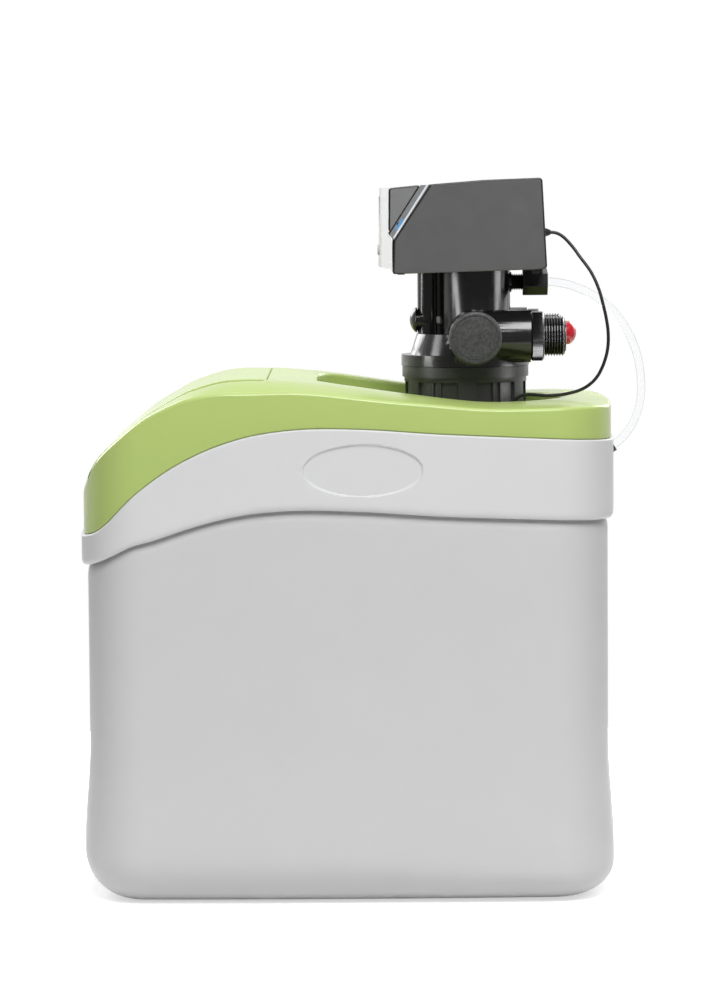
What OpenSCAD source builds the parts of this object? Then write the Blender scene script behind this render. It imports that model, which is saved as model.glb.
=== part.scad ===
// Cabinet water softener: brine tank, resin vessel, valve and control head.
// The salt lid faces -Y, the pipe ports face +Y, +Z is up.
// The origin lies on the floor under the middle of the cabinet.

/* [Cabinet] */
// Length of the collar from front to back
cabinet_length = 447; // [430:1:470]
// Width of the collar
cabinet_width = 290; // [285:1:320]
// Height of the cover's highest line
cabinet_height = 430.5; // [426:0.5:440]
// Corner radius of the collar in plan
corner_r = 52; // [48:1:56]
// How far the long sides bow out
side_bow = 4; // [2:0.5:6]
// How far the front and back bow out
end_bow = 4; // [2:0.5:6]

/* [Brine tank] */
// Wall of the tank
tank_wall = 4.5; // [3:0.5:5]
// Floor of the tank
tank_floor = 5; // [4:0.5:7]
// Radius of the tank's bottom edge
foot_r = 42; // [38:1:44]
// How much lower that edge is rounded at the back
foot_less = 12; // [0:1:16]
// How far the foot flares out
flare = 5; // [3:0.5:5]
// Height where the flare ends
flare_top = 130; // [110:5:160]
// Height of the rim above the collar's lower lip
rim_rise = 18; // [14:1:19]

/* [Collar] */
// Wall of the collar
collar_wall = 4.4; // [3.6:0.2:5]
// Rounding of the lower lip
lip_r = 4; // [2.5:0.5:4]
// Height of that rounding
lip_high = 6.5; // [3:0.5:8]
// Thickness of the shelf that rests on the tank's rim
shelf_t = 3; // [2:0.5:4]
// How far the shelf reaches in from the collar's face
shelf_in = 14; // [12:1:18]
// Gap between stacked shells
shell_gap = 0.3; // [0.2:0.1:0.5]
// Gap between the collar's wall and the tank
wrap_gap = 0.6; // [0.4:0.1:1]
// Length of the oval recess on each side
oval_length = 97; // [80:1:110]
// Height of the oval recess
oval_height = 42; // [36:1:46]
// Depth of the oval recess
oval_depth = 1.4; // [1:0.1:2]

/* [Cover] */
// How far the cover stands in from the collar's face
cover_inset = 2; // [1:0.5:3]
// Skin of the cover
skin = 3; // [2:0.5:3.5]
// Width of the rounded shoulder
shoulder_w = 36; // [32:1:36]
// Largest drop of the rounded shoulder
shoulder_h = 19; // [14:1:20]
// Half width of the well around the valve
well_r = 84; // [80:1:90]
// Distance of the well's front edge from the cabinet's front
well_front = 198.5; // [192:0.5:205]
// Corner radius of the well's front
well_corner = 30; // [20:1:40]
// Depth of the well's floor below the highest line
well_depth = 42.5; // [38:0.5:44]

/* [Salt lid] */
// Half width of the lid
lid_half = 103; // [96:1:103]
// Thickness of the lid
lid_t = 3; // [2.5:0.5:4]
// Distance of the hinge axis from the cabinet's front
hinge_u = 155; // [150:1:165]
// Radius of the hinge barrel
barrel_r = 2.8; // [2.6:0.1:3.2]
// Radius of a hinge pin
pin_r = 1.25; // [1:0.05:1.5]
// Gap around the lid
lid_gap = 0.9; // [0.6:0.1:1.2]

/* [Resin vessel] */
// Distance of the vessel's axis from the cabinet's back
vessel_back = 123.1; // [120:0.1:130]
// Outer radius of the vessel
vessel_r = 102.5; // [96:0.5:104]
// Wall of the vessel
vessel_wall = 4; // [3:0.5:6]
// Depth of the vessel's neck below the cover's highest line
neck_drop = 22.5; // [18:0.5:26]
// Height of each dome
dome_h = 55; // [48:1:60]
// Radius of the neck
neck_r = 42; // [38:0.5:43]
// Outer radius of the riser tube
riser_r = 13.3; // [11:0.1:14]

/* [Valve] */
// Radius of the valve's flange
flange_r = 54; // [52:0.5:56]
// Height of the valve's flange
flange_h = 9.2; // [7:0.2:11]
// Height of the valve from its flange to its top
valve_h = 80.5; // [78:0.5:86]
// Radius of the main cylinder
main_r = 30; // [29:0.5:33]
// Radius of the bore that holds the seal cage
main_bore_r = 20; // [19:0.1:20.5]
// Radius of the front column
column_r = 8.75; // [7.5:0.25:10]
// Radius of the cross barrel
barrel_body_r = 22; // [20:0.5:23]
// Half length of the cross barrel
barrel_half = 70; // [66:1:74]
// Distance of each pipe port from the middle
port_x = 35; // [34:0.5:38]
// Radius of a port's body
port_r = 22; // [20:0.5:23]
// Outer radius of the pipe thread
thread_r = 16.6; // [15:0.1:17.5]
// Pitch of the pipe thread
thread_pitch = 2.31; // [2:0.01:2.6]
// Water way through an adaptor
way_r = 9.5; // [8:0.1:11]
// Travel of the piston
piston_travel = 24; // [16:1:24]

/* [Control head] */
// Width of the head
head_w = 130; // [124:1:140]
// Wall of the housing
head_wall = 2.5; // [2:0.1:3]
// Teeth of the drive gear
gear_teeth = 60; // [50:2:64]
// Teeth of the motor pinion
pinion_teeth = 12; // [10:1:14]
// Tooth size: pitch diameter over teeth
gear_module = 1; // [0.9:0.05:1]
// Width of the gears
gear_w = 6; // [4:0.5:7]
// Radius of a button
button_r = 4; // [3:0.1:4.5]
// Travel of a button
button_travel = 1; // [0.6:0.1:1.2]

/* [Brine side] */
// Radius of the brine well
brine_well_r = 36; // [32:0.5:38]
// Wall of the brine well
brine_well_wall = 2.5; // [2:0.1:3]
// Radius of the float
float_r = 20; // [16:0.5:26]
// Travel of the float
float_travel = 40; // [30:1:50]
// Outer diameter of the brine tube
tube_d = 7; // [6:0.1:7]
// Diameter of the control lead
lead_d = 2.8; // [2.4:0.1:2.8]

/* [Hidden] */
$fn = 64;
eps = 0.05;

hx = cabinet_width / 2;
hy = cabinet_length / 2;
corner_x = hx - side_bow - corner_r;
corner_y = hy - end_bow - corner_r;
tank_inset = collar_wall + wrap_gap;

// Steps of a plan outline: half of an end, a corner, a long side
end_steps = 3;
corner_steps = 6;
side_steps = 18;

// Running clearance of a turning or sliding pair, and clearance of a loose seat
run_gap = 0.06;
seat_gap = 0.3;

// Curves along the cabinet: distance from the front, height below the highest line
deck_curve = [[0, -122], [4, -100], [6, -90], [9, -81.5], [14, -71], [20, -62], [34, -48.7], [56, -30.5],
    [72, -20.5], [95, -8.5], [130, 0], [195, -2.5], [272, -13], [330, -20], [372, -20.8], [410, -20],
    [cabinet_length, -19.4]];
seam_curve = [[0, -128.5], [20, -121.5], [51, -91.5], [88, -66], [133, -47.5], [180, -39.5],
              [234, -39.3], [300, -43.8], [cabinet_length, -51]];
// Height of the collar's band along the cabinet
band_curve = [[0, 26], [20, 26], [43, 37], [70, 50.5], [106, 58.7], [161, 64.5], [234, 67],
              [cabinet_length, 65.5]];
// Share of the shoulder's largest drop along the cabinet
shoulder_curve = [[0, 0.16], [60, 0.16], [98, 0.58], [140, 1], [185, 0.74], [230, 0.66], [270, 0.5],
                  [310, 0.34], [cabinet_length, 0.29]];

function segment(pts, u, i = 0) = (i >= len(pts) - 2 || u <= pts[i + 1].x) ? i : segment(pts, u, i + 1);
function secant(pts, i, j) = (pts[j].y - pts[i].y) / (pts[j].x - pts[i].x);
function slope(pts, i) = secant(pts, max(i - 1, 0), min(i + 1, len(pts) - 1));
function hermite(a, b, ma, mb, h, t) =
    a * (2 * t^3 - 3 * t^2 + 1) + h * ma * (t^3 - 2 * t^2 + t)
    + b * (3 * t^2 - 2 * t^3) + h * mb * (t^3 - t^2);
function curve_in(pts, u, i) =
    hermite(pts[i].y, pts[i + 1].y, slope(pts, i), slope(pts, i + 1),
            pts[i + 1].x - pts[i].x, (u - pts[i].x) / (pts[i + 1].x - pts[i].x));
function curve(pts, u) = curve_in(pts, u, segment(pts, u));

function deck(y) = cabinet_height + curve(deck_curve, y + hy);
function seam(y) = cabinet_height + curve(seam_curve, y + hy);
function lip(y) = seam(y) - curve(band_curve, y + hy);
function rim(y) = lip(y) + rim_rise;
function smooth(t) = let (c = min(max(t, 0), 1)) c * c * (3 - 2 * c);

// The shoulder is widest beside the lid and tight at the front and the back
shoulder_power = 2.2;
shoulder_in = cover_inset + shoulder_w;
function shoulder_weight(y) = curve(shoulder_curve, y + hy);
function shoulder_d(a, w) = shoulder_in - w * pow(cos(a), 2 / shoulder_power);
function shoulder_drop(a) = shoulder_h * (1 - pow(sin(a), 2 / shoulder_power));

// Half of a plan outline, set in by d, from the front's middle to the back's middle
function plan_half(d) = concat(
    [for (i = [0 : end_steps]) let (x = corner_x * i / end_steps)
        [x, -(hy - d - end_bow * (i / end_steps)^2)]],
    [for (i = [1 : corner_steps - 1]) let (a = -90 + 90 * i / corner_steps)
        [corner_x + (corner_r - d) * cos(a), -corner_y + (corner_r - d) * sin(a)]],
    [for (i = [0 : side_steps]) let (t = 2 * i / side_steps - 1)
        [hx - d - side_bow * t^2, corner_y * t]],
    [for (i = [1 : corner_steps - 1]) let (a = 90 * i / corner_steps)
        [corner_x + (corner_r - d) * cos(a), corner_y + (corner_r - d) * sin(a)]],
    [for (i = [end_steps : -1 : 0]) let (x = corner_x * i / end_steps)
        [x, hy - d - end_bow * (i / end_steps)^2]]);
function mirror_half(h) = concat(h, [for (i = [len(h) - 2 : -1 : 1]) [-h[i].x, h[i].y]]);
function plan(d) = mirror_half(plan_half(d));
function ring(d, height) = [for (p = plan(d)) [p.x, p.y, height(p.y)]];

// Skin over a stack of rings, closed on itself or by strips across the first and last ring
module loft(rings, closed = false) {
    n = len(rings[0]);
    m = len(rings);
    last = (m - 1) * n;
    bands = closed ? m : m - 1;
    sides = [for (j = [0 : bands - 1], i = [0 : n - 1])
        let (k = (i + 1) % n, a = j * n, b = ((j + 1) % m) * n)
        each [[a + i, b + k, a + k], [a + i, b + i, b + k]]];
    strip = [for (k = [0 : n / 2 - 1])
        let (near_left = (n - k) % n, far_left = n - k - 1)
        each concat(k > 0 ? [[k, near_left, far_left]] : [],
                    k + 1 < far_left ? [[k, far_left, k + 1]] : [])];
    top = [for (f = strip) [for (v = f) v + last]];
    bottom = [for (f = strip) [f[2], f[1], f[0]]];
    polyhedron([for (r = rings) each r], concat(sides, closed ? [] : concat(bottom, top)));
}

// Side outline in Y and Z carried across X, from x0 to x1
module across(x0, x1) {
    translate([x0, 0, 0]) rotate([90, 0, 90]) linear_extrude(x1 - x0) children();
}
module along_x(r, x0, x1) {
    translate([x0, 0, 0]) rotate([0, 90, 0]) cylinder(r = r, h = x1 - x0);
}
module along_y(r, y0, y1) {
    translate([0, y0, 0]) rotate([-90, 0, 0]) cylinder(r = r, h = y1 - y0);
}
module cone_y(r0, r1, y0, y1) {
    translate([0, y0, 0]) rotate([-90, 0, 0]) cylinder(r1 = r0, r2 = r1, h = y1 - y0);
}
module pipe_z(ro, ri, z0, z1) {
    translate([0, 0, z0]) difference() {
        cylinder(r = ro, h = z1 - z0);
        translate([0, 0, -1]) cylinder(r = ri, h = z1 - z0 + 2);
    }
}
module torus(major, minor) {
    rotate_extrude() translate([major, 0]) circle(r = minor, $fn = 24);
}
// Dome cap on the +Z side with its rim at z = 0
module dome_z(r, h) {
    ball = (r^2 + h^2) / (2 * h);
    intersection() {
        translate([0, 0, h - ball]) sphere(r = ball);
        cylinder(r = r, h = h);
    }
}

// Brine tank
foot_steps = 5;
flare_steps = 4;
foot_inset = tank_inset - flare;
floor_r = foot_r - max(tank_wall, tank_floor);
function foot(y) = foot_r - foot_less * smooth(y / corner_y);
function foot_ring(d0, z0, r, a) =
    ring(d0 + r * (1 - sin(a)), function(y) z0 + (foot(y) - z0) * (1 - cos(a)));
function wall_ring(extra, t) =
    ring(foot_inset + extra + flare * smooth(t), function(y) foot(y) + (flare_top - foot(y)) * t);
module brine_tank() {
    color("#c6c7c8") loft(concat(
        [for (i = [0 : foot_steps]) foot_ring(foot_inset, 0, foot_r, 90 * i / foot_steps)],
        [for (i = [1 : flare_steps]) wall_ring(0, i / flare_steps)],
        [ring(tank_inset, function(y) rim(y)), ring(tank_inset + tank_wall, function(y) rim(y))],
        [for (i = [flare_steps : -1 : 1]) wall_ring(tank_wall, i / flare_steps)],
        [for (i = [foot_steps : -1 : 0])
            foot_ring(foot_inset + tank_wall, tank_floor, floor_r, 90 * i / foot_steps)]));
}

// Collar with the oval recesses, and the hole for the brine tube's bush
lip_steps = 3;
oval_u = 236.5;
oval_z = -72.5;
oval_steps = 48;
shelf_z = rim_rise + shell_gap;
module oval_cut(side) {
    face = hx - side_bow * ((oval_u - hy) / corner_y)^2;
    translate([0, oval_u - hy, cabinet_height + oval_z])
        across(side > 0 ? face - oval_depth : -hx - 1, side > 0 ? hx + 1 : oval_depth - face)
        polygon([for (i = [0 : oval_steps - 1]) let (a = 360 * i / oval_steps)
            [oval_length / 2 * cos(a), oval_height / 2 * sin(a)]]);
}
module upper_collar() {
    color("#d6d7d8") difference() {
        loft(concat(
            [ring(collar_wall, function(y) lip(y))],
            [for (i = [0 : lip_steps]) let (a = 90 * i / lip_steps)
                ring(lip_r * (1 - sin(a)), function(y) lip(y) + lip_high * (1 - cos(a)))],
            [ring(0, function(y) seam(y)),
             ring(collar_wall, function(y) seam(y)),
             ring(collar_wall, function(y) lip(y) + shelf_z + shelf_t),
             ring(shelf_in, function(y) lip(y) + shelf_z + shelf_t),
             ring(shelf_in, function(y) lip(y) + shelf_z),
             ring(collar_wall, function(y) lip(y) + shelf_z)]), closed = true);
        oval_cut(1);
        oval_cut(-1);
        at_bush() cylinder(r = bush_r, h = 4 * bush_half, center = true);
    }
}

// Cover: shell, well and the lid's opening with its seat rails and hinge bosses
vessel_y = hy - vessel_back;
hinge_y = hinge_u - hy;
hinge_z = deck(hinge_y) - barrel_r;
well_y0 = well_front - hy;
well_floor_z = cabinet_height - well_depth;
tongue_w = 2.5;
tongue_h = 2.5;
tongue_up = 8;
tongue_gap = 0.5;
lid_front_in = 5.5;
rail_w = 10;
rail_t = 3;
rail_start = 14;
boss_w = 14;
boss_half = 6;
boss_h = 8;
pin_in = 11;
opening_half = lid_half + lid_gap;
shoulder_steps = 6;
inner_steps = 3;
module well_outline(extra) {
    r = well_r + extra;
    c = well_corner + extra;
    y0 = well_y0 - extra;
    translate([0, vessel_y]) circle(r = r);
    translate([-r, y0 + c]) square([2 * r, vessel_y - y0 - c]);
    translate([c - r, y0]) square([2 * (r - c), vessel_y - y0]);
    for (s = [-1, 1]) translate([s * (r - c), y0 + c]) circle(r = c);
}
module lid_outline(gap) {
    intersection() {
        polygon(plan(lid_front_in - gap));
        translate([-lid_half - gap, -hy])
            square([2 * (lid_half + gap), hinge_u + (gap > 0 ? barrel_r + gap : 0)]);
    }
}
// Points along the deck's curve, lowered square to it by t, from u0 to u1
deck_steps = 26;
function deck_u(u0, u1, i) = u0 + (u1 - u0) * pow(i / deck_steps, 1.5);
function deck_slope(y) = (deck(y + 0.5) - deck(y - 0.5));
function deck_line(u0, u1, t) = [for (i = [0 : deck_steps])
    let (y = deck_u(u0, u1, i) - hy, m = deck_slope(y), n = sqrt(1 + m * m))
    [y + t * m / n, deck(y) - t / n]];
function reversed(list) = [for (i = [len(list) - 1 : -1 : 0]) list[i]];
// The lid thins towards its front edge, so that it swings up clear of the cover
lid_edge_t = 1;
lid_thin_u = 12;
lid_thick_run = 18;
function lid_depth(u) = lid_edge_t + (lid_t - lid_edge_t) * smooth((u - lid_thin_u) / lid_thick_run);
function lid_under(u0, u1) = [for (i = [0 : deck_steps])
    let (u = deck_u(u0, u1, i), y = u - hy, m = deck_slope(y), n = sqrt(1 + m * m), t = lid_depth(u))
    [y + t * m / n, deck(y) - t / n]];
module deck_band(u0, u1, t0, t1) {
    polygon(concat(deck_line(u0, u1, t0), reversed(deck_line(u0, u1, t1))));
}
module cover_shell() {
    skin_w = shoulder_w - skin;
    tongue_d = collar_wall + tongue_gap;
    loft(concat(
        [for (i = [inner_steps : -1 : 0]) let (a = 90 * i / inner_steps)
            ring(shoulder_d(a, skin_w),
                 function(y) deck(y) - skin - shoulder_weight(y) * shoulder_drop(a))],
        [ring(cover_inset + skin, function(y) seam(y) + tongue_up),
         ring(tongue_d + tongue_w, function(y) seam(y) + tongue_up),
         ring(tongue_d + tongue_w, function(y) seam(y) - tongue_h),
         ring(tongue_d, function(y) seam(y) - tongue_h),
         ring(tongue_d, function(y) seam(y) + shell_gap),
         ring(cover_inset, function(y) seam(y) + shell_gap)],
        [for (i = [0 : shoulder_steps]) let (a = 90 * i / shoulder_steps)
            ring(shoulder_d(a, shoulder_w),
                 function(y) deck(y) - shoulder_weight(y) * shoulder_drop(a))]));
}
module well_tub() {
    intersection() {
        translate([0, 0, well_floor_z - skin])
            linear_extrude(cabinet_height - well_floor_z) well_outline(skin);
        across(-hx, hx) polygon(concat(deck_line(skin, cabinet_length - skin, skin / 2),
            [[hy, 0], [-hy, 0]]));
    }
}
module lid_seat(side) {
    seat_t = lid_t + seat_gap;
    x0 = side * (opening_half - rail_w);
    x1 = side * (opening_half + seat_gap);
    x2 = side * (opening_half + rail_t);
    across(min(x0, x1), max(x0, x1)) deck_band(rail_start, hinge_u - rail_w, seat_t, seat_t + rail_t);
    across(min(x1, x2), max(x1, x2)) deck_band(rail_start, hinge_u - rail_w, skin / 2, seat_t + rail_t);
    across(min(x1, x1 + side * boss_w), max(x1, x1 + side * boss_w))
        translate([hinge_y - boss_half, hinge_z + pin_r + seat_gap - boss_h]) square([2 * boss_half, boss_h]);
}
module top_cover() {
    color("#b3c878") difference() {
        union() {
            difference() {
                cover_shell();
                linear_extrude(2 * cabinet_height) lid_outline(lid_gap);
                translate([0, 0, well_floor_z]) linear_extrude(cabinet_height) well_outline(0);
            }
            difference() {
                well_tub();
                translate([0, 0, well_floor_z]) linear_extrude(cabinet_height) well_outline(0);
            }
            lid_seat(1);
            lid_seat(-1);
        }
        translate([0, vessel_y, 0]) cylinder(r = neck_ring_r + seat_gap + 2, h = cabinet_height);
        translate([lead_hole.x, lead_hole.y, 0]) cylinder(r = grommet_r, h = cabinet_height);
        for (s = [-1, 1]) translate([s * (opening_half + seat_gap + boss_w / 2), hinge_y, hinge_z])
            rotate([0, 90, 0]) cylinder(r = pin_r, h = boss_w + 4, center = true);
    }
}

// Salt lid with its hinge barrel
module salt_lid() {
    color("#bcd083") difference() {
        union() {
            intersection() {
                linear_extrude(2 * cabinet_height) lid_outline(0);
                across(-hx, hx) polygon(concat(deck_line(lid_front_in / 2, hinge_u, 0),
                    reversed(lid_under(lid_front_in / 2, hinge_u))));
            }
            translate([0, hinge_y, hinge_z]) along_x(barrel_r, -lid_half, lid_half);
        }
        for (s = [-1, 1]) translate([s * lid_half, hinge_y, hinge_z])
            rotate([0, 90, 0]) cylinder(r = pin_r + run_gap, h = 2 * (pin_in + 1), center = true);
    }
}
module hinge_pins() {
    color("#b9bcc0") for (s = [-1, 1])
        translate([0, hinge_y, hinge_z])
        along_x(pin_r, min(s * (lid_half - pin_in), s * (opening_half + seat_gap + boss_w)),
                max(s * (lid_half - pin_in), s * (opening_half + seat_gap + boss_w)));
}

// Resin vessel on its foot, with the riser and the two baskets
vessel_up = 9;
vessel_z0 = tank_floor + vessel_up;
vessel_top = cabinet_height - neck_drop;
dome_steps = 10;
neck_len = 23;
shoulder_z = vessel_top - neck_len - dome_h;
riser_wall = 2.2;
basket_r = 22;
basket_h = 40;
resin_share = 0.65;
resin_top = vessel_z0 + resin_share * (vessel_top - vessel_z0);
foot_low_r = 55;
foot_floor_r = 78;
foot_top_r = 92;
// Outer or inner outline of the bottom dome at radius r, for a vessel thinner by t
function bottom_dome(r, t) =
    vessel_z0 + dome_h - (dome_h - t) * sqrt(max(0, 1 - (r / (vessel_r - t))^2));
neck_wall = 9;
neck_in_r = neck_r - neck_wall;
module vessel_outline(t, low_r, neck, top) {
    r = vessel_r - t;
    inner = acos(neck / r);
    polygon(concat(
        [for (i = [0 : dome_steps]) let (q = low_r + (r - low_r) * sin(90 * i / dome_steps))
            [q, bottom_dome(q, t)]],
        [for (i = [0 : dome_steps]) let (a = inner * i / dome_steps)
            [r * cos(a), shoulder_z + (dome_h - t) * sin(a)]],
        [[neck, top], [low_r, top]]));
}
module resin_vessel() {
    color("#3d5f86") translate([0, vessel_y, 0]) rotate_extrude() difference() {
        vessel_outline(0, 0, neck_r, vessel_top);
        vessel_outline(vessel_wall, 0, neck_in_r, vessel_top + 1);
    }
}
module vessel_foot() {
    color("#2c2d2f") translate([0, vessel_y, 0]) rotate_extrude()
        polygon(concat([[foot_low_r, tank_floor + seat_gap / 2], [foot_floor_r, tank_floor + seat_gap / 2]],
            [for (i = [dome_steps : -1 : 0])
                let (r = foot_low_r + (foot_top_r - foot_low_r) * i / dome_steps)
                [r, bottom_dome(r, 0) - seat_gap]]));
}
module riser_tube() {
    color("#e4e2da") translate([0, vessel_y, 0])
        pipe_z(riser_r, riser_r - riser_wall, basket_z0 + basket_floor, valve_z0 + riser_up);
}
basket_floor = 4;
basket_z0 = vessel_z0 + vessel_wall + 2;
basket_slots = 12;
basket_gap = 0.25;
module basket(z0, z1, floor_t, r) {
    difference() {
        translate([0, 0, z0]) cylinder(r = r, h = z1 - z0);
        translate([0, 0, z0 + floor_t]) cylinder(r = riser_r + basket_gap, h = z1 - z0 + basket_floor);
        for (i = [0 : basket_slots - 1]) rotate([0, 0, 360 * i / basket_slots])
            translate([riser_r + 2, -0.5, z0 + floor_t + 3]) cube([r, 1, z1 - z0 - floor_t - 8]);
    }
}
module bottom_basket() {
    color("#d9d7cf") translate([0, vessel_y, 0])
        basket(basket_z0, basket_z0 + basket_h, basket_floor, basket_r);
}
top_basket_gap = 4;
top_basket_r = neck_in_r - top_basket_gap;
top_basket_h = 22;
module top_basket() {
    z1 = valve_z0 - spigot_len - seat_gap / 2;
    color("#d9d7cf") translate([0, vessel_y, 0]) basket(z1 - top_basket_h, z1, -1, top_basket_r);
}
module resin_bed() {
    gap = vessel_wall + seat_gap;
    hole = basket_r + seat_gap;
    color("#a8742f") translate([0, vessel_y, 0]) rotate_extrude() polygon(concat(
        [for (i = [0 : dome_steps]) let (q = hole + (vessel_r - gap - hole) * sin(90 * i / dome_steps))
            [q, bottom_dome(q, gap)]],
        [[vessel_r - gap, resin_top], [hole, resin_top]]));
}

// Neck ring with its ribbed panels, and the O-ring under the valve's flange
neck_ring_r = 51.6;
neck_band_r = flange_r - 0.7;
neck_band_h = 9.4;
neck_ring_low = 16;
panel_depth = 2.5;
panel_count = 6;
panel_low = 4;
panel_share = 0.72;
rib_w = 1.6;
rib_in = 0.6;
rib_turn = 4;
spigot_r = 31.9;
spigot_len = 25;
valve_over = 29;
valve_z0 = vessel_top + valve_over;
o_ring_r = 35;
o_ring_d = 3.6;
groove_gap = 0.2;
groove_half = o_ring_d / 2 + groove_gap;
module neck_ring() {
    z0 = vessel_top - neck_ring_low;
    band_z = valve_z0 - neck_band_h;
    color("#232426") translate([0, vessel_y, 0]) difference() {
        union() {
            translate([0, 0, z0]) cylinder(r = neck_ring_r, h = valve_z0 - seat_gap - z0);
            translate([0, 0, band_z]) cylinder(r = neck_band_r, h = neck_band_h - seat_gap);
        }
        translate([0, 0, z0 - 1]) cylinder(r = neck_r + run_gap, h = neck_ring_low + 1 + seat_gap);
        translate([0, 0, z0]) cylinder(r = spigot_r + run_gap, h = valve_z0 - z0 + 1);
        translate([0, 0, valve_z0 - seat_gap - o_ring_d])
            pipe_z(o_ring_r + groove_half, o_ring_r - groove_half, 0, o_ring_d + 1);
        for (i = [0 : panel_count - 1]) rotate([0, 0, 360 * (i + 0.5) / panel_count]) difference() {
            translate([0, 0, z0 + panel_low]) rotate([0, 0, -180 * panel_share / panel_count])
                rotate_extrude(angle = 360 * panel_share / panel_count)
                translate([neck_ring_r - panel_depth, 0])
                square([panel_depth + 1, band_z - z0 - 2 * panel_low]);
            for (s = [-1, 1]) rotate([0, 0, s * rib_turn])
                translate([neck_ring_r - panel_depth - rib_w, -rib_w / 2, z0])
                cube([panel_depth + rib_w - rib_in, rib_w, band_z - z0]);
        }
    }
}
module neck_o_ring() {
    color("#151515") translate([0, vessel_y, valve_z0 - seat_gap - o_ring_d / 2])
        torus(o_ring_r, o_ring_d / 2);
}

// Valve body: flange, skirt, front column, main cylinder, cross barrel and ports
main_back = 8.2;
column_front = 31.4;
barrel_back = 6.6;
port_up = 25;
port_back = 53.6;
main_y = vessel_y + main_back;
column_y = vessel_y - column_front;
barrel_y = vessel_y + barrel_back;
port_z = valve_z0 + port_up;
port_end = vessel_y + port_back;
web_w = 8;
skirt_low_r = 46.4;
skirt_top_r = 41;
skirt_top = 26.5;
valve_top = valve_z0 + valve_h;
riser_up = 6;
cage_up = 16;
cage_z0 = valve_z0 + cage_up;
port_bore_r = 13;
port_bore_back = 17;
port_bore_y = main_y + port_bore_back;
cap_bore_r = 15;
cap_bore_in = 16;
cross_r = 7;
injector_up = 38;
injector_z = valve_z0 + injector_up;
injector_boss_r = 9;
injector_boss_len = 9.2;
injector_boss_y = column_y - injector_boss_len;
injector_web = 8;
injector_bore_r = 5;
brine_up = 69.4;
brine_z = valve_z0 + brine_up;
brine_boss_r = 8.5;
brine_boss_len = 1;
brine_boss_y = main_y + main_r + brine_boss_len;
brine_bore_r = 3;
drain_up = 62;
drain_z = valve_z0 + drain_up;
drain_boss_r = 10;
drain_boss_len = 5;
drain_boss_x = -main_r - drain_boss_len;
drain_bore_r = 5;
screw_r = 1.6;
screw_circle = 25.5;
screw_depth = 12;
screw_head_r = 3;
screw_head_h = 2;
module main_axis() { translate([0, main_y, 0]) children(); }
module at_ports() { for (s = [-1, 1]) translate([s * port_x, 0, port_z]) children(); }
module screw_places() {
    main_axis() for (a = [45 : 90 : 315]) rotate([0, 0, a]) translate([screw_circle, 0, 0]) children();
}
module valve_body() {
    color("#1f2022") difference() {
        union() {
            translate([0, vessel_y, valve_z0]) {
                cylinder(r = flange_r, h = flange_h);
                translate([0, 0, -spigot_len]) cylinder(r = spigot_r, h = spigot_len);
                translate([0, 0, flange_h])
                    cylinder(r1 = skirt_low_r, r2 = skirt_top_r, h = skirt_top - flange_h);
            }
            main_axis() translate([0, 0, valve_z0]) cylinder(r = main_r, h = valve_h);
            translate([0, column_y, valve_z0]) cylinder(r = column_r, h = valve_h);
            translate([-web_w / 2, column_y, valve_z0]) cube([web_w, main_y - column_y, valve_h]);
            translate([0, barrel_y, port_z]) along_x(barrel_body_r, -barrel_half, barrel_half);
            at_ports() along_y(port_r, main_y, port_end);
            translate([0, 0, injector_z]) along_y(injector_boss_r, injector_boss_y, column_y);
            translate([0, 0, brine_z]) along_y(brine_boss_r, main_y, brine_boss_y);
            translate([0, main_y, drain_z]) along_x(drain_boss_r, drain_boss_x, 0);
        }
        main_axis() translate([0, 0, cage_z0]) cylinder(r = main_bore_r, h = valve_h);
        translate([0, vessel_y, valve_z0 - spigot_len - 1])
            cylinder(r = riser_r + run_gap, h = spigot_len + riser_up + 1 + seat_gap);
        at_ports() along_y(port_bore_r, port_bore_y, port_end + 1);
        translate([0, port_bore_y + cross_r, port_z]) along_x(cross_r, -port_x, port_x);
        for (s = [-1, 1]) translate([s * barrel_half, barrel_y, port_z])
            rotate([0, 90, 0]) cylinder(r = cap_bore_r, h = 2 * cap_bore_in, center = true);
        translate([0, 0, injector_z])
            along_y(injector_bore_r, injector_boss_y - 1, main_y - main_bore_r - injector_web);
        translate([0, 0, brine_z]) along_y(brine_bore_r, main_y, brine_boss_y + 1);
        translate([0, main_y, drain_z]) along_x(drain_bore_r, drain_boss_x - 1, 0);
        screw_places() translate([0, 0, valve_top - screw_depth]) cylinder(r = screw_r, h = screw_depth + 1);
    }
}

// Caps of the cross barrel, with their O-rings
cap_t = 7;
cap_bevel = 2;
cap_plug = 13;
small_ring_d = 2.6;
module side_cap(s) {
    translate([s * barrel_half, barrel_y, port_z]) rotate([0, 90 * s, 0]) difference() {
        union() {
            cylinder(r = barrel_body_r, h = cap_t - cap_bevel);
            translate([0, 0, cap_t - cap_bevel])
                cylinder(r1 = barrel_body_r, r2 = barrel_body_r - cap_bevel, h = cap_bevel);
            translate([0, 0, -cap_plug]) cylinder(r = cap_bore_r - run_gap, h = cap_plug);
        }
        translate([0, 0, -cap_plug / 2]) cap_groove(cap_bore_r);
    }
}
module cap_groove(r) {
    difference() {
        cylinder(r = r + 1, h = small_ring_d + 2 * groove_gap, center = true);
        cylinder(r = r - small_ring_d - groove_gap, h = small_ring_d + 1, center = true);
    }
}
module side_cap_near() { color("#26272a") side_cap(1); }
module side_cap_far() { color("#26272a") side_cap(-1); }
module side_cap_o_rings() {
    color("#151515") for (s = [-1, 1]) translate([s * (barrel_half - cap_plug / 2), barrel_y, port_z])
        rotate([0, 90, 0]) torus(cap_bore_r - small_ring_d / 2 - run_gap, small_ring_d / 2);
}

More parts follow.
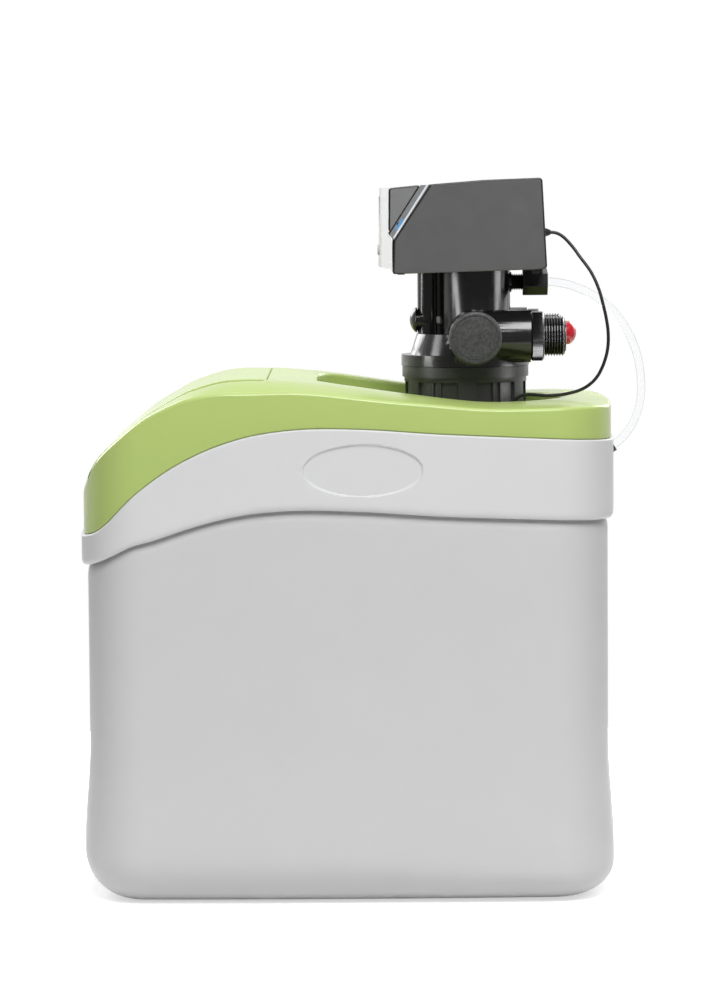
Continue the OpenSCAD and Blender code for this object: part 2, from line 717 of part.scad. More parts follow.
// Injector plug and its nozzle
plug_head_r = 10.5;
plug_dome = 5;
plug_spigot = 10;
nozzle_len = 9;
nozzle_hole = 1.2;
module injector_plug() {
    color("#222326") translate([0, injector_boss_y, injector_z]) rotate([90, 0, 0]) {
        cylinder(r = plug_head_r, h = 1.2);
        translate([0, 0, 1.2]) dome_z(plug_head_r, plug_dome);
        translate([0, 0, -plug_spigot]) cylinder(r = injector_bore_r - run_gap, h = plug_spigot);
    }
}
module injector_nozzle() {
    y0 = injector_boss_y + plug_spigot + seat_gap;
    color("#d8d4c8") translate([0, 0, injector_z]) difference() {
        along_y(injector_bore_r - run_gap, y0, y0 + nozzle_len);
        cone_y(nozzle_hole * 2.5, nozzle_hole, y0 - eps, y0 + nozzle_len + eps);
    }
}

// Piston, the cage that seals it, and the bonnet above it
cage_wall = 4.3;
cage_in_r = main_bore_r - cage_wall;
bonnet_t = 1.2;
bonnet_r = main_r - 0.5;
bonnet_plug = 8;
cage_top = valve_top - bonnet_plug - seat_gap / 2;
ring_count = 3;
ring_minor = 0.9;
land_r = cage_in_r - ring_minor - 0.25;
land_h = 6;
rod_r = 5;
piston_z0 = cage_z0 + 2;
piston_len = cage_top - piston_z0 - piston_travel - 0.5;
rod_top = valve_top + 40;
ring_step = (cage_top - cage_z0) / (ring_count + 1);
module piston() {
    color("#e9e6dd") main_axis() {
        translate([0, 0, piston_z0]) cylinder(r = land_r, h = land_h);
        translate([0, 0, piston_z0]) cylinder(r = rod_r + 3, h = piston_len);
        translate([0, 0, piston_z0 + piston_len - land_h]) cylinder(r = land_r, h = land_h);
        translate([0, 0, piston_z0]) cylinder(r = rod_r, h = rod_top - piston_z0);
    }
}
module seal_cage() {
    color("#cfcabd") main_axis() difference() {
        pipe_z(main_bore_r - run_gap, cage_in_r, cage_z0 + seat_gap / 2, cage_top);
        for (i = [1 : ring_count]) translate([0, 0, cage_z0 + i * ring_step])
            cylinder(r = cage_in_r + ring_minor + 0.3, h = 2 * ring_minor + 0.4, center = true);
        for (i = [0 : ring_count], a = [30 : 60 : 150]) translate([0, 0, cage_z0 + (i + 0.5) * ring_step])
            rotate([90, 0, a]) cylinder(r = 2.5, h = 4 * main_bore_r, center = true);
    }
}
module seal_rings() {
    color("#151515") main_axis() for (i = [1 : ring_count])
        translate([0, 0, cage_z0 + i * ring_step]) torus(cage_in_r + 0.1, ring_minor);
}
module bonnet() {
    color("#2a2b2e") difference() {
        main_axis() {
            translate([0, 0, valve_top]) cylinder(r = bonnet_r, h = bonnet_t);
            translate([0, 0, valve_top - bonnet_plug]) cylinder(r = main_bore_r - run_gap, h = bonnet_plug);
        }
        main_axis() translate([0, 0, valve_top - bonnet_plug - 1])
            cylinder(r = rod_r + run_gap, h = bonnet_plug + bonnet_t + 2);
        screw_places() translate([0, 0, valve_top - 1]) cylinder(r = screw_r + run_gap, h = bonnet_t + 2);
    }
}

// Pipe adaptors: plug, collar, pipe thread and water way
adaptor_plug = 14;
adaptor_ring_r = 20.7;
adaptor_ring = 11.3;
adaptor_bevel = 1.5;
thread_depth = 1.45;
thread_turns = 7;
crest_w = 0.5;
thread_y0 = port_end + adaptor_ring;
adaptor_end = thread_y0 + thread_turns * thread_pitch + 1;
spider_t = 2;
axle_r = 1;
axle_len = 12;
module adaptor_shape() {
    core = thread_r - thread_depth;
    rib = (thread_pitch - crest_w) / 2;
    difference() {
        union() {
            along_y(port_bore_r - run_gap, port_end - adaptor_plug, port_end);
            cone_y(adaptor_ring_r - adaptor_bevel, adaptor_ring_r, port_end, port_end + adaptor_bevel);
            along_y(adaptor_ring_r, port_end + adaptor_bevel, thread_y0 - adaptor_bevel);
            cone_y(adaptor_ring_r, adaptor_ring_r - adaptor_bevel, thread_y0 - adaptor_bevel, thread_y0);
            along_y(core, thread_y0, adaptor_end);
            for (i = [0 : thread_turns - 1]) translate([0, thread_y0 + 0.5 + i * thread_pitch, 0]) {
                cone_y(core, thread_r, 0, rib);
                along_y(thread_r, rib, rib + crest_w);
                cone_y(thread_r, core, rib + crest_w, 2 * rib + crest_w);
            }
        }
        along_y(way_r, port_end - adaptor_plug - 1, adaptor_end + 1);
        translate([0, port_end - adaptor_plug / 2, 0]) rotate([90, 0, 0]) cap_groove(port_bore_r);
    }
}
module outlet_adaptor() {
    color("#242528") translate([port_x, 0, port_z]) {
        adaptor_shape();
        for (a = [0 : 120 : 240]) rotate([0, a, 0])
            translate([-1, port_end - spider_t, 0]) cube([2, spider_t, way_r + 0.5]);
        along_y(3, port_end - spider_t, port_end);
        along_y(axle_r, port_end - axle_len, port_end);
    }
}
module inlet_adaptor() {
    color("#242528") translate([-port_x, 0, port_z]) adaptor_shape();
}
module adaptor_o_rings() {
    color("#151515") at_ports() translate([0, port_end - adaptor_plug / 2, 0]) rotate([90, 0, 0])
        torus(port_bore_r - small_ring_d / 2 - run_gap, small_ring_d / 2);
}
plug_stem = 12;
plug_flange = 0.8;
outlet_plug_r = 13;
outlet_plug_h = 0.2;
outlet_plug_dome = 0.8;
inlet_plug_r = 10;
inlet_flange_r = 15;
inlet_plug_h = 7;
inlet_plug_dome = 6;
module port_plug(r, flange_r, straight, dome) {
    translate([0, adaptor_end, 0]) rotate([-90, 0, 0]) {
        translate([0, 0, -plug_stem]) cylinder(r = way_r - run_gap, h = plug_stem);
        cylinder(r = flange_r, h = plug_flange);
        translate([0, 0, plug_flange]) cylinder(r = r, h = straight);
        translate([0, 0, plug_flange + straight]) dome_z(r, dome);
    }
}
module outlet_plug() {
    color("#1d1d20") translate([port_x, 0, port_z])
        port_plug(outlet_plug_r, outlet_plug_r, outlet_plug_h, outlet_plug_dome);
}
module inlet_plug() {
    color("#cf1f2e") translate([-port_x, 0, port_z])
        port_plug(inlet_plug_r, inlet_flange_r, inlet_plug_h, inlet_plug_dome);
}

// Flow turbine on the outlet adaptor's axle
blade_count = 6;
blade_t = 1;
blade_tilt = 20;
blade_end = 1.6;
turbine_hub_r = 2.6;
turbine_len = 8;
turbine_tip = 0.9;
module turbine_shape() {
    difference() {
        union() {
            cylinder(r = turbine_hub_r, h = turbine_len);
            for (i = [0 : blade_count - 1]) rotate([0, 0, 360 * i / blade_count])
                rotate([blade_tilt, 0, 0]) translate([0, -blade_t / 2, blade_end])
                cube([way_r - turbine_tip, blade_t, turbine_len - 2 * blade_end]);
        }
        translate([0, 0, -1]) cylinder(r = axle_r + run_gap, h = turbine_len + 2);
    }
}
module flow_turbine() {
    color("#e8e8e6") translate([port_x, port_end - spider_t - seat_gap - turbine_len, port_z])
        rotate([-90, 0, 0]) turbine_shape();
}

// Brine fitting with its hex nut, and the drain tail on the far side
fitting_r = 5.6;
fitting_len = 9.4;
fitting_ribs = 5;
nut_across = 20;
nut_len = 21.2;
nut_turn = 18.6;
tube_gap = 0.15;
brine_nut_y = brine_boss_y + fitting_len;
module brine_fitting() {
    step = fitting_len / fitting_ribs;
    color("#1b1c1e") translate([0, 0, brine_z]) difference() {
        union() {
            along_y(fitting_r, brine_boss_y, brine_nut_y + 6);
            for (i = [0 : fitting_ribs - 1]) translate([0, brine_boss_y + i * step, 0]) {
                cone_y(fitting_r, fitting_r + 1.6, 0, step / 2);
                cone_y(fitting_r + 1.6, fitting_r, step / 2, step);
            }
        }
        along_y(brine_bore_r, brine_boss_y - 1, brine_nut_y + 7);
    }
}
module brine_nut() {
    color("#1b1c1e") translate([0, 0, brine_z]) difference() {
        translate([0, brine_nut_y, 0]) rotate([-90, 0, 0]) rotate([0, 0, nut_turn])
            cylinder(r = nut_across / 2 / cos(30), h = nut_len, $fn = 6);
        along_y(fitting_r + run_gap, brine_nut_y - 1, brine_nut_y + 6.3);
        along_y(tube_d / 2 + tube_gap, brine_nut_y, brine_nut_y + nut_len + 1);
    }
}
tail_r = 6.35;
tail_len = 24;
tail_hex = 8;
module drain_tail() {
    color("#26272a") translate([0, main_y, drain_z]) difference() {
        union() {
            translate([drain_boss_x - tail_hex, 0, 0]) rotate([0, 90, 0])
                cylinder(r = drain_boss_r / cos(30) - 0.5, h = tail_hex, $fn = 6);
            along_x(tail_r, drain_boss_x - tail_hex - tail_len, drain_boss_x - tail_hex);
            along_x(drain_bore_r - run_gap, drain_boss_x, drain_boss_x + 10);
        }
        along_x(drain_bore_r - 1.5, drain_boss_x - tail_hex - tail_len - 1, drain_boss_x + 11);
    }
}

// Control head, with its corners measured from the piston's axis and the valve's top
head_z = valve_top;
housing_pts = [[-69.6, 0], [-68.6, 25.5], [-38, 71.5], [8, 75], [54.7, 76.5], [58.4, 2.2]];
fascia_pts = [[-72.2, 68.6], [-46.1, 71.1], [-72.6, 30]];
band_pts = [[-68.6, 25.5], [-72.6, 30], [-46.1, 71.1], [-38, 71.5]];
bezel_pts = [[-79.6, 68.9], [-72.6, 68.9], [-73, 29.6], [-69.9, 25.2], [-69.9, 1.5], [-81.1, 3.5]];
bezel_front = -81.1;
bezel_ball = 900;
bezel_wall = 2;
bezel_low = bezel_pts[4].y + 2 * bezel_wall;
part_gap = 0.15;
skirt_lean = 0.6;
module head_frame() { translate([0, main_y, head_z]) children(); }
module head_outline(pts, shrink) { offset(delta = -shrink) polygon(pts); }
module head_housing() {
    half = head_w / 2;
    skirt_y0 = housing_pts[0].x + head_wall + skirt_lean;
    skirt_y1 = housing_pts[5].x - head_wall - skirt_lean;
    color("#5c5d5f") head_frame() difference() {
        across(-half, half) head_outline(housing_pts, 0);
        across(head_wall - half, half - head_wall) {
            head_outline(housing_pts, head_wall);
            translate([skirt_y0, -1]) square([skirt_y1 - skirt_y0, base_z + base_t + 4]);
        }
        translate([lead_x, housing_pts[5].x, relief_z - head_z])
            rotate([90, 0, 0]) cylinder(r = relief_r, h = 4 * head_wall + 6, center = true);
    }
}
cheek_slot = [8, 18];
cheek_slot_z = 48;
module front_fascia() {
    half = head_w / 2;
    color("#6b6c6e") head_frame() difference() {
        across(-half, half) head_outline(fascia_pts, part_gap);
        across(head_wall - half, half - head_wall) intersection() {
            union() {
                head_outline(fascia_pts, head_wall);
                translate([fascia_pts[0].x - 1, cheek_slot_z]) square(cheek_slot);
            }
            translate([fascia_pts[0].x - 1, 0]) square([head_w, fascia_pts[0].y]);
        }
    }
}
lamp_at = [-63.8, 38.5];
lamp_r = 2.2;
lamp_len = 9;
module light_band() {
    half = head_w / 2 - 0.4;
    color("#8d9196") head_frame() difference() {
        across(-half, half) head_outline(band_pts, part_gap);
        translate([0, lamp_at.x, lamp_at.y]) along_x(lamp_r, half - lamp_len, half + 1);
    }
}
module status_lamp() {
    half = head_w / 2 - 0.4;
    color("#2f6fb5") head_frame() translate([0, lamp_at.x, lamp_at.y]) along_x(lamp_r, half - lamp_len, half);
}
window_half = 30;
window_z = [36, 62];
window_t = 1.4;
window_in = 0.6;
display_edge = 2;
display_y = bezel_front + window_in + window_t + seat_gap;
button_z = 17;
button_step = 24;
button_count = 4;
board_y = bezel_front + 6.6;
board_t = 1.2;
board_half = 50;
board_z = [8, 64.4];
post_r = 2.5;
post_x = 45;
button_wall = 0.9;
button_proud = 0.8;
switch_r = 2.5;
switch_h = 1;
function bezel_sag(x) = x^2 / (2 * bezel_ball);
function button_x(i) = (i - (button_count - 1) / 2) * button_step;
module bezel_plan(shrink) {
    half = head_w / 2 - 0.5 - shrink;
    intersection() {
        translate([0, bezel_front + shrink + bezel_ball]) circle(r = bezel_ball, $fn = 900);
        translate([-half, bezel_front]) square([2 * half, 20]);
    }
}
module front_bezel() {
    color("#f2f3f3") head_frame() difference() {
        union() {
            difference() {
                intersection() {
                    linear_extrude(80) bezel_plan(0);
                    across(-head_w, head_w) polygon(bezel_pts);
                }
                translate([0, 0, bezel_low]) linear_extrude(bezel_pts[0].y - bezel_wall - bezel_low)
                    bezel_plan(bezel_wall);
            }
            for (x = [-post_x, post_x], z = [board_z[0] + 4, board_z[1] - 4])
                translate([x, 0, z]) along_y(post_r, bezel_front + 2, board_y);
        }
        translate([-window_half, bezel_front - 1, window_z[0]])
            cube([2 * window_half, 5, window_z[1] - window_z[0]]);
        for (i = [0 : button_count - 1]) translate([button_x(i), 0, button_z])
            along_y(button_r + part_gap, bezel_front - 1, bezel_front + 5);
    }
}
module display_window() {
    gap = part_gap / 2;
    color("#23272c") head_frame()
        translate([-window_half + gap, bezel_front + window_in, window_z[0] + gap])
        cube([2 * (window_half - gap), window_t, window_z[1] - window_z[0] - 2 * gap]);
}
module display_module() {
    color("#4a5a4e") head_frame()
        translate([display_edge - window_half, display_y, window_z[0] + display_edge])
        cube([2 * (window_half - display_edge), board_y - display_y,
              window_z[1] - window_z[0] - 2 * display_edge]);
}
module circuit_board() {
    color("#2f6b46") head_frame() {
        translate([-board_half, board_y, board_z[0]])
            cube([2 * board_half, board_t, board_z[1] - board_z[0]]);
        for (i = [0 : button_count - 1]) translate([button_x(i), 0, button_z])
            along_y(switch_r, board_y - switch_h, board_y);
    }
}
module button(i) {
    rim_r = button_r + button_wall;
    back = board_y - switch_h - button_travel - seat_gap;
    rim_y = bezel_front + bezel_wall + bezel_sag(abs(button_x(i)) + rim_r) + seat_gap;
    color("#8f9296") head_frame() translate([button_x(i), 0, button_z]) {
        along_y(button_r, bezel_front + bezel_sag(button_x(i)) - button_proud, back);
        along_y(rim_r, rim_y, back);
    }
}
module button_1() { button(0); }
module button_2() { button(1); }
module button_3() { button(2); }
module button_4() { button(3); }

// Base plate of the head, its screws and the drive
base_z = bonnet_t + seat_gap;
base_t = 3.5;
base_boss_r = 12;
base_boss_h = 0.8;
gear_z = 8.5;
gear_hub_r = 9;
gear_hub_top = gear_z + gear_w + 6;
pinion_gap = 0.12;
pinion_over = 0.5;
pinion_at = -(gear_teeth + pinion_teeth) * gear_module / 2 - pinion_gap;
motor_r = 17;
motor_h = 24;
motor_z = gear_z + gear_w + 2;
motor_plate_t = 2;
motor_plate_half = 27;
motor_post_r = 3;
motor_post_x = -54;
motor_post_y = 22;
shaft_r = 1.5;
shaft_up = 12;
tab_w = 6;
tab_drop = 3;
module base_outline() {
    x0 = head_w / 2 - head_wall - seat_gap;
    y0 = housing_pts[0].x + head_wall + skirt_lean + seat_gap;
    y1 = housing_pts[5].x - head_wall - skirt_lean - seat_gap;
    translate([-x0, y0]) square([2 * x0, y1 - y0]);
}
module head_base() {
    tab_x = head_w / 2 - head_wall - 6;
    color("#3a3b3e") head_frame() difference() {
        union() {
            translate([0, 0, base_z]) linear_extrude(base_t) base_outline();
            translate([0, 0, base_z + base_t - eps]) cylinder(r = base_boss_r, h = base_boss_h + eps);
            for (s = [-1, 1]) translate([motor_post_x, s * motor_post_y, base_z])
                cylinder(r = motor_post_r, h = motor_z - base_z);
            for (x = [-tab_x, tab_x], y = [housing_pts[0].x + 4, housing_pts[5].x - 12])
                translate([x - 2, y, -tab_drop]) cube([4, tab_w, tab_drop + base_z + 1]);
        }
        translate([0, 0, -1]) cylinder(r = rod_r + 0.5, h = base_z + base_t + base_boss_h + 2);
        for (a = [45 : 90 : 315]) rotate([0, 0, a]) translate([screw_circle, 0, 0])
            cylinder(r = screw_r + run_gap, h = 20);
    }
}
module head_screws() {
    color("#a9acb0") screw_places() {
        translate([0, 0, valve_top - screw_depth + 1])
            cylinder(r = screw_r - run_gap / 2, h = screw_depth - 1 + base_z + base_t);
        translate([0, 0, valve_top + base_z + base_t]) cylinder(r = screw_head_r, h = screw_head_h);
    }
}

// Involute tooth outline around the origin
gear_backlash = 0.16;
pressure = 20;
function inv_deg(a) = tan(a) * 180 / PI - a;
function tooth_half(n, r) =
    let (rp = n * gear_module / 2, rb = rp * cos(pressure), q = max(r, rb), a = acos(rb / q))
    90 / n - gear_backlash / gear_module * 90 / (PI * n) * 2 + inv_deg(pressure) - inv_deg(a);
function tooth_r(n, k) =
    let (rp = n * gear_module / 2, low = max(rp - 1.25 * gear_module, 0), high = rp + 0.92 * gear_module)
    low + (high - low) * k;
flank = [0, 0.45, 0.6, 0.75, 0.9, 1];
function gear_pts(n) = [for (i = [0 : n - 1]) let (mid = 360 * i / n) each concat(
    [for (k = flank) let (r = tooth_r(n, k), h = tooth_half(n, r)) r * [cos(mid - h), sin(mid - h)]],
    [for (k = reversed(flank)) let (r = tooth_r(n, k), h = tooth_half(n, r))
        r * [cos(mid + h), sin(mid + h)]])];
module drive_gear() {
    color("#e3ded0") head_frame() difference() {
        union() {
            translate([0, 0, gear_z]) linear_extrude(gear_w) polygon(gear_pts(gear_teeth));
            translate([0, 0, base_z + base_t + base_boss_h + seat_gap])
                cylinder(r = gear_hub_r, h = gear_hub_top - base_z - base_t - base_boss_h - seat_gap);
        }
        cylinder(r = rod_r + run_gap, h = gear_hub_top + 1);
    }
}
module motor_pinion() {
    color("#c9b458") head_frame() translate([pinion_at, 0, 0]) {
        translate([0, 0, gear_z - pinion_over]) rotate([0, 0, pinion_turn])
            linear_extrude(gear_w + 2 * pinion_over) polygon(gear_pts(pinion_teeth));
        translate([0, 0, gear_z]) cylinder(r = shaft_r, h = motor_z - gear_z + shaft_up);
    }
}
// A gap of the pinion faces the tooth of the gear on -X
pinion_turn = (gear_teeth % 2 == 0 ? 180 / pinion_teeth : 0);
module drive_motor() {
    plate_x0 = motor_post_x - motor_post_r - 1;
    color("#8e9196") head_frame() difference() {
        union() {
            translate([pinion_at, 0, motor_z + motor_plate_t]) cylinder(r = motor_r, h = motor_h);
            translate([plate_x0, -motor_plate_half, motor_z])
                cube([pinion_at + motor_r - plate_x0, 2 * motor_plate_half, motor_plate_t]);
        }
        translate([pinion_at, 0, motor_z - 1]) cylinder(r = shaft_r + run_gap, h = shaft_up + 3);
    }
}

// Strain relief and control lead, and the grommet in the well's floor
lead_x = 48;
relief_up = 31.1;
relief_z = head_z + relief_up;
relief_r = 4;
relief_out = 5;
grommet_r = 4;
module strain_relief() {
    y0 = main_y + housing_pts[5].x - 4.6;
    y1 = lead_route[0].y;
    color("#17181a") translate([lead_x, 0, relief_z]) difference() {
        union() {
            along_y(relief_r - 0.1, y0, y1 - relief_out);
            cone_y(relief_r - 0.1, lead_d / 2 + 0.6, y1 - relief_out, y1);
        }
        along_y(lead_d / 2, y0 - 1, y0 + 2);
    }
}
lead_hole = [48, vessel_y + 37.6];
// The lead's way, from the piston's axis and the valve's top, swings clear of the outlet
lead_way = [[48, 62, 31.1], [48.1, 65.9, 30.7], [48.5, 70, 29], [49.2, 74, 25.9], [50.2, 77.7, 21.9],
    [51.6, 81.8, 16.9], [54.5, 85.6, 11.3], [57, 90.5, 4.7], [59.3, 94.9, -1.9], [63, 100.8, -15.1],
    [65.5, 104.4, -28.3], [67, 107.2, -41.5], [68, 108.5, -53.9], [68, 107.9, -65.5], [68, 105.7, -74.6],
    [68, 102.8, -82], [67.5, 98.7, -89.1], [66.5, 93.3, -94.6], [65, 86.4, -98.9], [63, 76.9, -102],
    [60.5, 67.1, -103.7], [58, 58.1, -104.3], [55, 49.9, -103.9], [52.3, 43.4, -103.6], [50.8, 37.8, -104.4],
    [49.6, 33.4, -107], [48.7, 30.4, -111.2]];
lead_drop = [12.5, 7, 1];
lead_route = concat([for (p = lead_way) [p.x, main_y + p.y, head_z + p.z]],
    [for (d = lead_drop) [lead_hole.x, lead_hole.y, well_floor_z + d]]);
module lead_grommet() {
    lower = well_floor_z - skin;
    color("#17181a") translate([lead_hole.x, lead_hole.y, 0]) difference() {
        union() {
            translate([0, 0, lower - 1.5]) cylinder(r = grommet_r - 0.05, h = skin + 2);
            translate([0, 0, well_floor_z + 0.05]) cylinder(r = grommet_r + 2, h = 1);
        }
        translate([0, 0, lower - 2]) cylinder(r = lead_d / 2 + 0.1, h = skin + 5);
    }
}

// Tube swept along a route: rings square to the run at each point
function unit(v) = v / norm(v);
function run_at(route, i) = unit(route[min(i + 1, len(route) - 1)] - route[max(i - 1, 0)]);
function side_of(run) = abs(run.x) < 0.9 ? unit(cross(run, [1, 0, 0])) : unit(cross(run, [0, 0, 1]));
function sweep_side(route, i) = i == 0 ? side_of(run_at(route, 0))
    : let (s = sweep_side(route, i - 1), r = run_at(route, i)) unit(s - (s * r) * r);
module sweep(route, r, sides) {
    n = len(route);
    points = [for (i = [0 : n - 1])
        let (run = run_at(route, i), s = sweep_side(route, i), t = cross(run, s))
        each [for (k = [0 : sides - 1]) let (a = 360 * k / sides) route[i] + r * (cos(a) * s + sin(a) * t)]];
    walls = [for (i = [0 : n - 2], k = [0 : sides - 1])
        let (l = (k + 1) % sides, a = i * sides, b = a + sides)
        each [[a + k, b + l, a + l], [a + k, b + k, b + l]]];
    start = [for (k = [1 : sides - 2]) [0, k, k + 1]];
    last = (n - 1) * sides;
    finish = [for (k = [1 : sides - 2]) [last, last + k + 1, last + k]];
    polyhedron(points, concat(walls, start, finish));
}
module control_lead() { color("#161618") sweep(lead_route, lead_d / 2, 8); }

// Places of the brine well and of the elbow that the brine tube is pushed on
brine_side = 65;
brine_front = 125.5;
brine_at = [brine_side - hx, brine_front - hy];
brine_foot = 3;
brine_z0 = tank_floor + brine_foot;
brine_drop = 38.5;
brine_top = cabinet_height - brine_drop;
elbow_drop = 90.5;
elbow_z = cabinet_height - elbow_drop;
elbow_len = 47.7;

// Brine tube from the hex nut through the bush in the collar's back to the float valve
bush_back = 2.5;
bush_drop = 67.5;
bush_at = [-20, hy - bush_back, cabinet_height - bush_drop];
bush_tilt = 34;
bush_r = 5.6;
bush_half = 7;
bush_gap = 0.1;
// The tube's way: from the nut, from the cabinet's back and top, and from the brine well's elbow
tube_from_nut = [[0, 13, 0], [0, 23, 0], [0, 35, -1.7], [0, 47, -5.4], [0, 59, -11.2], [0, 70, -19]];
tube_at_back = [[19.5, 7.5, 115], [19, 15, 104.4], [18, 21, 92.4], [16.5, 25.5, 79], [14, 28, 65],
    [11, 28.8, 51], [7.5, 27.4, 37.6], [4, 23.6, 25.4], [1.2, 17.6, 14.8], [0, 10, 6.8], [0, 0, 0],
    [0, -10, -6.8], [-3, -18.5, -11.4], [-12, -23, -13.8], [-26, -28.5, -15], [-41, -36, -15.8],
    [-56, -46, -16.4], [-70, -60, -17], [-82, -76, -17.5], [-91, -94, -18], [-96.5, -113, -18.5]];
tube_to_well = [[-38, 130, 2.5], [-37, 115, 2], [-34.5, 101.5, 1.5], [-27.5, 89.5, 1], [-18.5, 81.5, 0.5],
    [-9.5, 73.5, 0.2], [-2.5, 61.5, 0], [0, 48, 0]];
tube_bow = -2;
tube_turn = bush_at + tube_at_back[len(tube_at_back) - 1];
tube_reach = [brine_at.x, brine_at.y, elbow_z] + tube_to_well[0];
tube_route = concat(
    [for (p = tube_from_nut) [p.x, brine_nut_y + p.y, brine_z + p.z]],
    [for (p = tube_at_back) bush_at + p],
    [for (t = [0.25, 0.5, 0.75])
        tube_turn + t * (tube_reach - tube_turn) + [4 * tube_bow * t * (1 - t), 0, 0]],
    [for (p = tube_to_well) [brine_at.x, brine_at.y, elbow_z] + p]);
module at_bush() { translate(bush_at) rotate([bush_tilt - 90, 0, 0]) children(); }
module tube_bush() {
    color("#2a2a2c") at_bush() difference() {
        cylinder(r = bush_r - bush_gap, h = 2 * bush_half, center = true);
        cylinder(r = tube_d / 2 + tube_gap, h = 3 * bush_half, center = true);
    }
}
module brine_tube() { color("#e6ebee", 0.6) sweep(tube_route, tube_d / 2, 10); }

// Brine well with its cap, float valve and float
cap_h = 6;
slot_count = 6;
pipe_r = 4;
elbow_end = brine_at.y + elbow_len;
foot_valve_r = 14;
foot_valve_h = 28;
float_z = 144;
float_h = 38;
stop_r = 8;
stop_t = 4;
module at_brine() { translate([brine_at.x, brine_at.y, 0]) children(); }
module brine_well() {
    color("#dfe1e2") at_brine() difference() {
        translate([0, 0, brine_z0]) cylinder(r = brine_well_r, h = brine_top - brine_z0);
        translate([0, 0, brine_z0 + 3]) cylinder(r = brine_well_r - brine_well_wall, h = brine_top);
        for (i = [0 : slot_count - 1]) rotate([0, 0, 60 * i + 30])
            translate([brine_well_r / 2, -2, brine_z0 + 8]) cube([brine_well_r, 4, 40]);
        translate([0, 0, elbow_z]) along_y(pipe_r + 1.2, 0, brine_well_r + 5);
    }
}
module brine_well_cap() {
    rim_r = brine_well_r - brine_well_wall - seat_gap;
    color("#c9cbcc") at_brine() {
        translate([0, 0, brine_top + seat_gap]) cylinder(r = brine_well_r + 2, h = 3);
        pipe_z(rim_r, rim_r - 2, brine_top - cap_h, brine_top + 1);
    }
}
module float_valve() {
    z0 = brine_z0 + 3 + seat_gap;
    upper = float_z + float_h + float_travel + 2;
    color("#e9e9e6") at_brine() {
        translate([0, 0, z0]) cylinder(r = foot_valve_r, h = foot_valve_h);
        translate([0, 0, z0]) cylinder(r = pipe_r, h = elbow_z - z0 + pipe_r);
        translate([0, 0, float_z - stop_t]) cylinder(r = stop_r, h = stop_t);
        translate([0, 0, upper]) cylinder(r = stop_r, h = stop_t);
        translate([0, 0, elbow_z]) along_y(pipe_r, 0, elbow_end - brine_at.y);
    }
}
module float() {
    color("#d8dbdc") at_brine() pipe_z(float_r, pipe_r + run_gap, float_z + seat_gap, float_z + float_h);
}

brine_tank();
upper_collar();
top_cover();
salt_lid();
hinge_pins();
resin_vessel();
vessel_foot();
riser_tube();
bottom_basket();
top_basket();
resin_bed();
neck_ring();
neck_o_ring();
valve_body();
side_cap_near();
side_cap_far();
side_cap_o_rings();
injector_plug();
injector_nozzle();
piston();
seal_cage();
seal_rings();
bonnet();
outlet_adaptor();
inlet_adaptor();
adaptor_o_rings();
outlet_plug();
inlet_plug();
flow_turbine();
brine_fitting();
brine_nut();
drain_tail();
head_base();
head_housing();
front_fascia();
light_band();
status_lamp();
front_bezel();
display_window();
display_module();
circuit_board();
button_1();
button_2();
button_3();
button_4();
head_screws();
drive_gear();
motor_pinion();
drive_motor();
strain_relief();
control_lead();
lead_grommet();
tube_bush();
brine_tube();
brine_well();
brine_well_cap();
float_valve();
float();
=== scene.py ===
import bpy
import bmesh
import math
from mathutils import Euler, Matrix, Vector
from mathutils.geometry import delaunay_2d_cdt


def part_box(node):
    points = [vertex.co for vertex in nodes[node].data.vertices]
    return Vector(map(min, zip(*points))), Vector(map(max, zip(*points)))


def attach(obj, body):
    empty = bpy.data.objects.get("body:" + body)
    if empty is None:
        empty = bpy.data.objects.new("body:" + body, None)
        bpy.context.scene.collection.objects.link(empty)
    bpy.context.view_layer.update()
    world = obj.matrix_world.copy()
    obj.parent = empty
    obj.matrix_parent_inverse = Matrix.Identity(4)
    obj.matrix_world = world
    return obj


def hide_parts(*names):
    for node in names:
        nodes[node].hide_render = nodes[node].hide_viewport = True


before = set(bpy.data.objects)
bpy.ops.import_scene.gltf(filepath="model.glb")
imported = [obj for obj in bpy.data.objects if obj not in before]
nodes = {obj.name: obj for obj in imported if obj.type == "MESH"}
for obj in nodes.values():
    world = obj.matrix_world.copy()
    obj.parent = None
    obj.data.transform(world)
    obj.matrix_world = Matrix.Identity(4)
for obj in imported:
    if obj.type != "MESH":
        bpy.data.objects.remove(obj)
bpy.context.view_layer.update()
scene = bpy.context.scene
scene.view_settings.view_transform = "Standard"
print("frame loaded:", len(nodes), "nodes")

# camera, read off the picture's horizon and the cabinet's edges
shot = {"eye": (3.300, 0.01175, 0.5887), "tiltDown": 4.61, "roll": -0.43, "lens": 140.5, "sensor": 36.0,
        "farClip": 50.0}


def placeCamera():
    cam = bpy.data.cameras.new("sideCamera")
    cam.sensor_fit = "VERTICAL"
    cam.sensor_height = shot["sensor"]
    cam.lens = shot["lens"]
    cam.clip_end = shot["farClip"]
    rig = bpy.data.objects.new("sideCamera", cam)
    rig.location = shot["eye"]
    aim = Euler((math.radians(90 - shot["tiltDown"]), 0, math.radians(90))).to_matrix()
    rig.rotation_euler = (aim @ Matrix.Rotation(math.radians(shot["roll"]), 3, "Z")).to_euler()
    scene.collection.objects.link(rig)
    scene.camera = rig


placeCamera()
print("camera set")


# node helpers

def lin(r, g, b):
    def one(c):
        c /= 255
        return c / 12.92 if c <= 0.04045 else ((c + 0.055) / 1.055) ** 2.4
    return (one(r), one(g), one(b), 1)


def scaled(tint, k):
    return (min(tint[0] * k, 1), min(tint[1] * k, 1), min(tint[2] * k, 1), 1)


def wire(tree, a, out, b, inp):
    tree.links.new(a.outputs[out], b.inputs[inp])


